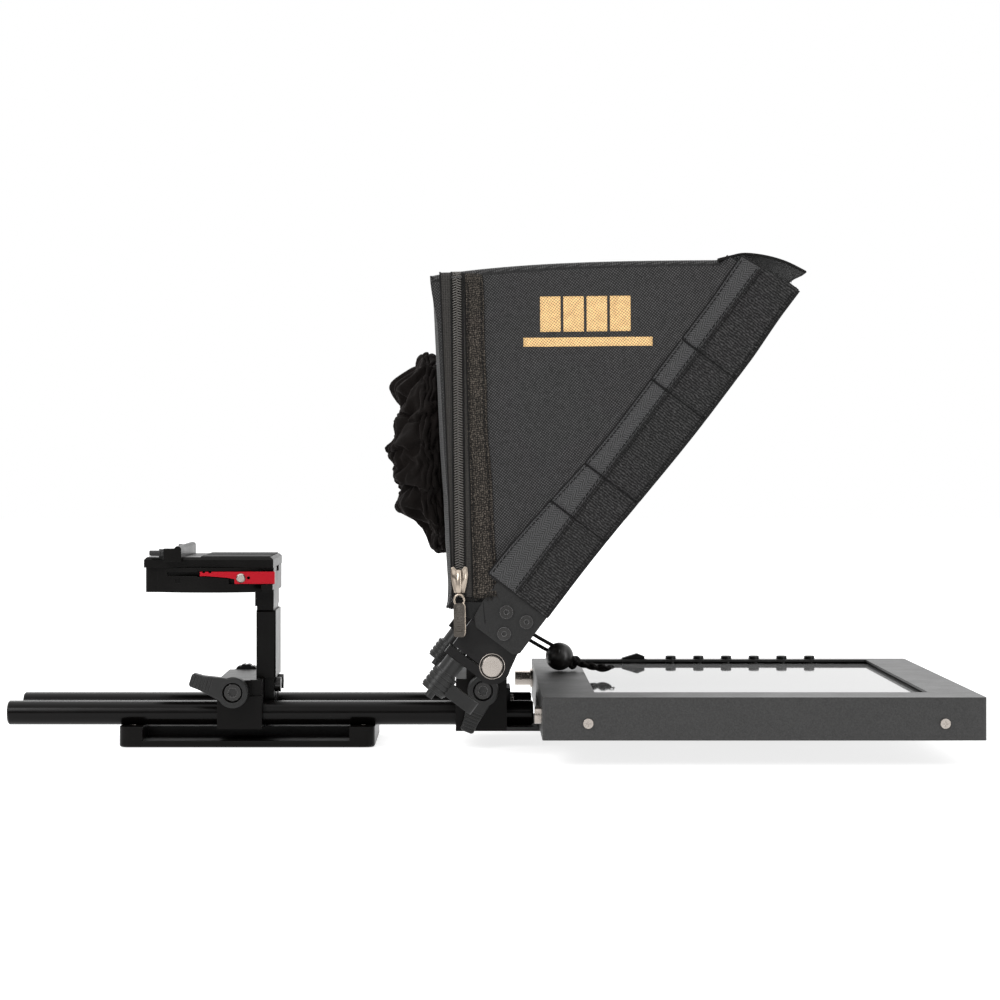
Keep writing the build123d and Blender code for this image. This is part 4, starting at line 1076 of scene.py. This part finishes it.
def flap_profile(t):
    """The flap's run forward over the frame, in x and z, from the hood's top edge to its tip."""
    reach = t * (len(FLAP_STOPS) - 1)
    index = min(int(reach), len(FLAP_STOPS) - 2)
    local = reach - index
    a, b = FLAP_STOPS[max(index - 1, 0)], FLAP_STOPS[index]
    c, d = FLAP_STOPS[index + 1], FLAP_STOPS[min(index + 2, len(FLAP_STOPS) - 1)]
    return (b * 2 + (c - a) * local + (a * 2 - b * 5 + c * 4 - d) * local ** 2
            + (b * 3 - a - c * 3 + d) * local ** 3) / 2


def flap_point(s, t):
    place = flap_profile(t)
    y = (2 * s - 1) * FLAP_HALF
    droop = 1.7 * (1 - abs(2 * s - 1) ** 2) * math.sin(math.pi * min(1, t * 1.1))
    droop += 0.6 * wrinkle(Vector((place.x, y, 0)), 0.03)
    return Vector((place.x, y, place.z - droop * MM * smooth(t, 0.05, 0.5)))


flap = sheet_with_lining("hood_flap_sheet", flap_point, 70, 24, top_view, flip=True)
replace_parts(flap, "hood_flap")
declare(flap_point)


def make_flap_trim():
    edge = line_of(lambda t: flap_point(0, t), 30)
    edge += line_of(lambda s: flap_point(s, 1), 60)[1:]
    edge += line_of(lambda t: flap_point(1, 1 - t), 30)[1:]
    edge = [place - Vector((0, 0, 0.5 * MM)) for place in edge]
    tube("flap_binding", edge, 0.85 * MM, 10, binding)


make_flap_trim()


# --- zip, webbing and printed bars
ZIP_OUT = outward(-1)
ZIP_ACROSS = ZIP_OUT.cross(ZIP)
ZIP_START = on_side(131.2 * MM, 106 * MM, -1)
ZIP_LENGTH = (on_side(129.4 * MM, 282 * MM, -1) - ZIP_START).length / MM
ZIP_LOW, ZIP_HIGH = -10.0, ZIP_LENGTH + 11.0
ZIP_WIDTHS = {1: (4.4, 10.2), -1: (7.6, 4.4)}      # of the rear tape and the front one, at their low and high ends
TOP_FOLD = 283.0 * MM       # where the zip and the webbing start to turn over the hood's top edge
FOLD_RADIUS = 4.6 * MM


def folded(place):
    """Turns what rises past the hood's top edge over, on to its top."""
    extra = place.z - TOP_FOLD
    if extra <= 0:
        return place
    turn = min(extra / FOLD_RADIUS, math.pi / 2)
    inward = FOLD_RADIUS * (1 - math.cos(turn)) + max(0.0, extra - FOLD_RADIUS * math.pi / 2)
    return Vector((place.x, place.y + inward, TOP_FOLD + FOLD_RADIUS * math.sin(turn)))


def zip_place(along, across, lift):
    """A point by the zip, in millimetres along it, across it towards the rear, and off the cloth."""
    return folded(ZIP_START + (ZIP * along + ZIP_ACROSS * across + ZIP_OUT * lift) * MM)


def zip_width(sign, t):
    low, high = ZIP_WIDTHS[sign]
    return low + (high - low) * t


def make_zip():
    """Two tapes that meet at the coil, with a corded edge on each side of it."""
    run = ZIP_HIGH - ZIP_LOW
    tapes = []
    for label, sign in (("rear", 1), ("front", -1)):
        def point(s, t):
            wave = 0.12 * wrinkle(Vector((t * 0.18, s * 0.01, sign)), 0.012)
            return zip_place(ZIP_LOW + run * t, sign * (1.2 + (zip_width(sign, t) - 1.2) * s), 0.75 + wave)

        mesh = sheet_mesh(f"zip_tape_{label}", point, 8, 110, lambda place, s, t: (s * 0.006, t * 0.2))
        face_along(mesh, ZIP_OUT)
        tapes.append(thicken(link(f"zip_tape_{label}", mesh, zip_cloth), 0.7 * MM))
    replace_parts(tapes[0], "zip_tape")

    meshes = []
    for inner, radius, lift in ((3.3, 0.55, 0.9), (None, 0.5, 0.7)):
        for sign in (1, -1):
            line = line_of(lambda t: zip_place(ZIP_LOW + run * t, sign * (inner or zip_width(sign, t)), lift), 90)
            meshes.append(tube_mesh(line, radius * MM, 8))
    join("zip_piping", meshes, binding)

    pitch = 1.5
    teeth = []
    for index in range(int(run / pitch)):
        for side in (-1, 1):
            along = ZIP_LOW + (index + (0.5 if side > 0 else 0.0)) * pitch
            arch = [zip_place(along + lean, side * across, lift) for lean, across, lift in
                    ((0.5, -0.35, 0.95), (0.45, 0.15, 1.5), (0.1, 1.2, 1.7), (-0.25, 2.2, 1.5), (-0.4, 2.6, 0.85))]
            teeth.append(tube_mesh(arch, 0.4 * MM, 7))
    join("zip_teeth", teeth, coil_plastic)

    cross = [zip_place(ZIP_LENGTH + 2.0, across, 1.5) for across in (-3.2, -1.6, 0, 1.6, 3.2)]
    tube("zip_top_stop", cross, 0.7 * MM, 8, dark_steel)


make_zip()


def plate_mesh(outline, place, low, high, bevel, segments=3):
    """A flat plate with rounded edges: an outline in two local coordinates between two heights."""
    work = bmesh.new()
    bottom_ring = [work.verts.new(place(a, b, low)) for a, b in outline]
    work.faces.new(bottom_ring)
    top_ring = [work.verts.new(place(a, b, high)) for a, b in outline]
    work.faces.new(list(reversed(top_ring)))
    for a, b, c, d in zip(bottom_ring, top_ring, top_ring[1:] + top_ring[:1], bottom_ring[1:] + bottom_ring[:1]):
        work.faces.new((a, b, c, d))
    bmesh.ops.recalc_face_normals(work, faces=work.faces)
    rims = [edge for edge in work.edges if any(set(edge.verts) <= set(ring) for ring in (bottom_ring, top_ring))]
    bmesh.ops.bevel(work, geom=rims, offset=bevel * MM, segments=segments, affect="EDGES")
    mesh = bpy.data.meshes.new("plate")
    work.to_mesh(mesh)
    work.free()
    return mesh


def rounded_outline(middle, length, width, radius):
    """A rectangle with round corners, in two local coordinates, about a middle on the first."""
    points = []
    steps = 6
    for turn, (a, b) in enumerate(((1, 1), (-1, 1), (-1, -1), (1, -1))):
        for step in range(steps + 1):
            angle = math.pi / 2 * (turn + step / steps)
            points.append((middle + a * (length / 2 - radius) + radius * math.cos(angle),
                           b * (width / 2 - radius) + radius * math.sin(angle)))
    return points


def make_slider():
    """The slider's two winged plates and its bridge, and the ring and tab that hang from it."""
    wings = [(-6.4, -3.2), (-7.6, -2.2), (-7.6, 2.2), (-6.4, 3.2), (-2, 4.2), (2, 4.9), (7.4, 4.7), (7.8, 3.2),
             (5.6, 1.2), (5.2, 0), (5.6, -1.2), (7.8, -3.2), (7.4, -4.7), (2, -4.9), (-2, -4.2)]
    meshes = [plate_mesh(wings, zip_place, 2.05, 3.2, 0.4)]
    for side in (-1, 1):
        flange = [(-7.4, side * 2.3), (-7.4, side * 3.1), (-2, side * 4.3), (2, side * 5.0), (7.0, side * 4.8),
                  (7.0, side * 4.1), (2, side * 4.1), (-4, side * 2.9)]
        meshes.append(plate_mesh(flange, zip_place, 1.3, 2.4, 0.15, 2))
    bridge = [zip_place(along, 0, lift) for along, lift in
              ((5.6, 2.9), (5.2, 4.0), (3.0, 4.8), (-1.0, 5.0), (-5.0, 4.8), (-7.0, 4.2), (-7.4, 3.2), (-6.6, 2.6))]
    arch = tube_mesh(bridge, 0.95 * MM, 12)
    for vertex in arch.vertices:
        shift = (vertex.co - ZIP_START).dot(ZIP_ACROSS)
        vertex.co += ZIP_ACROSS * (shift * 0.9)
    meshes.append(arch)
    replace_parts(join("zip_slider_body", meshes, slider_metal, "zip_runner"), "zip_slider")

    meshes = [plate_mesh(rounded_outline(-23.5, 19.8, 6.8, 1.7), zip_place, 2.5, 3.9, 0.35)]
    for index in range(12):
        rib = [zip_place(-16.0 - 1.33 * index, across, 3.95) for across in (-2.6, -1.3, 0, 1.3, 2.6)]
        meshes.append(tube_mesh(rib, 0.26 * MM, 6))
    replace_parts(join("zip_puller_tab", meshes, tab_metal, "zip_pull"), "zip_puller")

    ring = []
    for step in range(28):
        angle = 2 * math.pi * step / 28
        ring.append(zip_place(-11.8 + 3.3 * math.cos(angle), 2.9 * math.sin(angle), 3.35 + 0.3 * math.cos(angle)))
    edge = [zip_place(-13.2, -1.9, 3.6), zip_place(-14.4, -3.0, 3.5)]
    edge += [zip_place(along, -3.35, 3.4) for along in (-16, -19, -22, -25, -28, -31)]
    edge += [zip_place(-32.6, -2.6, 3.4)]
    meshes = [tube_mesh(ring + ring[:2], 0.66 * MM, 12), tube_mesh(edge, 0.5 * MM, 10)]
    join("zip_puller_ring", meshes, slider_metal, "zip_pull")


make_slider()


def between(low, high, share):
    """A place between two, each given as x and z."""
    return [a + (b - a) * share for a, b in zip(low, high)]


def make_webbing():
    """Wide brown-black webbing sewn on beside the zip, from the hood's top down to its bottom."""
    top_left, top_right = (133.2, 297.0), (143.4, 297.6)
    bottom_left, bottom_right = (138.6, 95.0), (152.8, 97.0)

    def point(s, t, lift=1.15):
        x, z = between(between(bottom_left, top_left, t), between(bottom_right, top_right, t), s)
        x += 0.5 * math.sin(t * 9) + 0.3 * math.sin(t * 23)
        rise = 0.7 * (1 - (2 * s - 1) ** 4) + 0.18 * wrinkle(Vector((x, z, 0)) * MM, 0.002)
        return folded(hood_surface(x * MM, z * MM, -1, lift + rise - 0.5))

    mesh = sheet_mesh("zip_webbing", point, 20, 260, lambda place, s, t: (s * 0.0125, t * 0.2))
    face_along(mesh, Vector((0, -1, 0)))
    strip = thicken(link("zip_webbing", mesh, webbing), 0.9 * MM)
    for index, share in enumerate((0.14, 0.86)):
        stitches(f"webbing_stitches_{index}", lambda t: point(share, 0.02 + 0.9 * t, 1.45), ZIP_OUT, 180,
                 pitch=2.9, gauge=0.26)
    randomly = random.Random(77)
    dark_tubes = []
    for _ in range(46):
        root = point(randomly.random(), 0.004, 1.2)
        lean = shaken_by(randomly, 1.1 * MM)
        reach = Vector((0, 0, -randomly.uniform(0.8, 2.6) * MM))
        hair = [root + Vector((0, 0, MM)), root + reach * 0.5 + lean * 0.5, root + reach + lean]
        dark_tubes.append(tube_mesh(hair, 0.2 * MM, 5))
    join("webbing_fringe", dark_tubes, webbing)


make_webbing()


def make_print():
    """Plain gold bars in place of the printed lettering on the near side."""
    bars = []
    blocks = [(178.2 + 13.6 * index, 190.2 + 13.6 * index, 251.6, 272.4) for index in range(4)]
    for left, right, low, high in blocks + [(168.4, 243.6, 242.9, 248.2)]:
        def point(s, t):
            return hood_surface((left + (right - left) * s) * MM, (low + (high - low) * t) * MM, -1, 0.12)

        bars.append(sheet_mesh("bar", point, 24, 10))
    thicken(join("printed_bars", bars, printed_gold()), 0.06 * MM)


make_print()


# --- the camera's cloth sock
# Each lobe's middle above the sock's centre, its width and how far it stands out, in millimetres.
SOCK_LOBES = ((46, 9, 6.5), (18.5, 5, 3.2), (2.5, 8, 9.0), (-13, 7, 4.8), (-33, 8, 5.0))
SOCK_STOPS = ((59.5, 0.4), (65.5, 3), (67, 6.5), (63.5, 10.5), (56.5, 13.5), (48, 17), (39, 20), (31, 22), (25, 23.5))
SOCK_AROUND, SOCK_ALONG = 144, 40
SOCK_FRAMES = 24
CLOTH_SETTINGS = {
    "quality": 8, "mass": 0.12, "tension_stiffness": 25, "compression_stiffness": 25, "shear_stiffness": 6,
    "bending_stiffness": 0.02, "air_damping": 2, "shrink_min": -0.16, "vertex_group_mass": "sewn",
}


def sock_profile(v):
    """Radius and height of the sock from its sewn edge to its mouth, in millimetres."""
    reach = v * (len(SOCK_STOPS) - 1)
    index = min(int(reach), len(SOCK_STOPS) - 2)
    return between(SOCK_STOPS[index], SOCK_STOPS[index + 1], reach - index)


def sock_slump(rise):
    """How much further the crumpled cloth stands out at a height above the sock's centre, in millimetres."""
    return sum(size * math.exp(-((rise - middle) / width) ** 2) for middle, width, size in SOCK_LOBES)


sock_randomly = random.Random(12)
SOCK_PHASES = [sock_randomly.uniform(0, 2 * math.pi) for _ in range(4)]


def sock_point(s, t):
    angle = 2 * math.pi * s
    radius, height = sock_profile(t)
    radius *= 1 + 0.045 * max(0.0, -math.sin(angle))
    pleat = (0.55 * math.sin(23 * angle + SOCK_PHASES[0]) + 0.3 * math.sin(14 * angle + SOCK_PHASES[1])
             + 0.25 * math.sin(37 * angle + SOCK_PHASES[2]))
    slow = math.sin(5 * angle + SOCK_PHASES[3]) * math.sin(math.pi * t)
    depth = 3.4 * smooth(t, 0.05, 0.6) * (1 - 0.7 * smooth(t, 0.7, 1)) + 0.3
    swell = pleat * depth + slow * 1.6
    height += swell * smooth(t, 0.15, 0.7) + sock_slump(radius * math.sin(angle)) * smooth(t, 0.2, 0.75)
    radius += swell * (1 - smooth(t, 0.3, 0.8)) * 0.9
    return SOCK_CENTRE + rear_direction(angle) * (radius * MM) + REAR_OUT * (height * MM)


def crumple(sock):
    """Lets the sock shrink and slump for a moment between its sewn edge and its mouth."""
    start = [vertex.co.copy() for vertex in sock.data.vertices]
    rows = [range(row * SOCK_AROUND, (row + 1) * SOCK_AROUND) for row in (0, SOCK_ALONG, SOCK_ALONG - 1)]
    pinned = sock.vertex_groups.new(name="sewn")
    pinned.add([*rows[0], *rows[1]], 1.0, "REPLACE")
    pinned.add([*rows[2]], 0.6, "REPLACE")
    cloth = sock.modifiers.new("cloth", "CLOTH")
    for key, value in CLOTH_SETTINGS.items():
        setattr(cloth.settings, key, value)
    cloth.settings.effector_weights.gravity = 0.25
    cloth.collision_settings.use_collision = False
    cloth.collision_settings.use_self_collision = True
    cloth.collision_settings.self_distance_min = 0.0009
    cloth.collision_settings.collision_quality = 3
    cloth.point_cache.frame_start = 1
    cloth.point_cache.frame_end = SOCK_FRAMES
    for step in range(1, SOCK_FRAMES + 1):
        bpy.context.scene.frame_set(step)
    settle(sock)
    bpy.context.scene.frame_set(1)
    cap, clearance = 9 * MM, 0.3 * MM
    for vertex, first in zip(sock.data.vertices, start):
        moved = vertex.co - first
        if moved.length > cap:
            vertex.co = first + moved * (cap / moved.length)
        sunk = (vertex.co - SOCK_CENTRE).dot(REAR_OUT)
        if sunk < clearance:
            vertex.co += REAR_OUT * (clearance - sunk)


def make_sock():
    """The camera's cloth sock: shaped, crumpled by a short simulation, thickened and hemmed."""
    mesh = sheet_mesh("camera_sock_cloth", sock_point, SOCK_AROUND, SOCK_ALONG, lambda place, s, t: (s, t),
                      closed=True)
    face_along(mesh, REAR_OUT, SOCK_AROUND * 30)
    sock = link("camera_sock_cloth", mesh, sock_material)
    crumple(sock)
    thicken(sock, 0.8 * MM, offset=1)
    finer = sock.modifiers.new("finer", "SUBSURF")
    finer.levels = finer.render_levels = 1
    settle(sock)
    sock.data.shade_smooth()
    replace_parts(sock, "camera_sock")
    declare(sock_point)
    hem = line_of(lambda s: sock_point(s, 1.0), SOCK_AROUND)
    tube("sock_hem", hem, 1.5 * MM, 10, sock_material)


make_sock()

# --- floor
FLOOR_HALF, FLOOR_Z = 6, -0.0006
floor_mesh = bpy.data.meshes.new("floor")
floor_corners = [(x * FLOOR_HALF, y * FLOOR_HALF, FLOOR_Z) for x, y in ((-1, -1), (1, -1), (1, 1), (-1, 1))]
floor_mesh.from_pydata(floor_corners, [], [(0, 1, 2, 3)])
floor = add_object("floor", floor_mesh)
paper = Shader("studio_floor", 0.9, Specular_IOR_Level=0.0, Emission_Strength=0.8)
floor_mesh.materials.append(paper.finish(Base_Color=grey(0.5), Emission_Color=grey(1)))
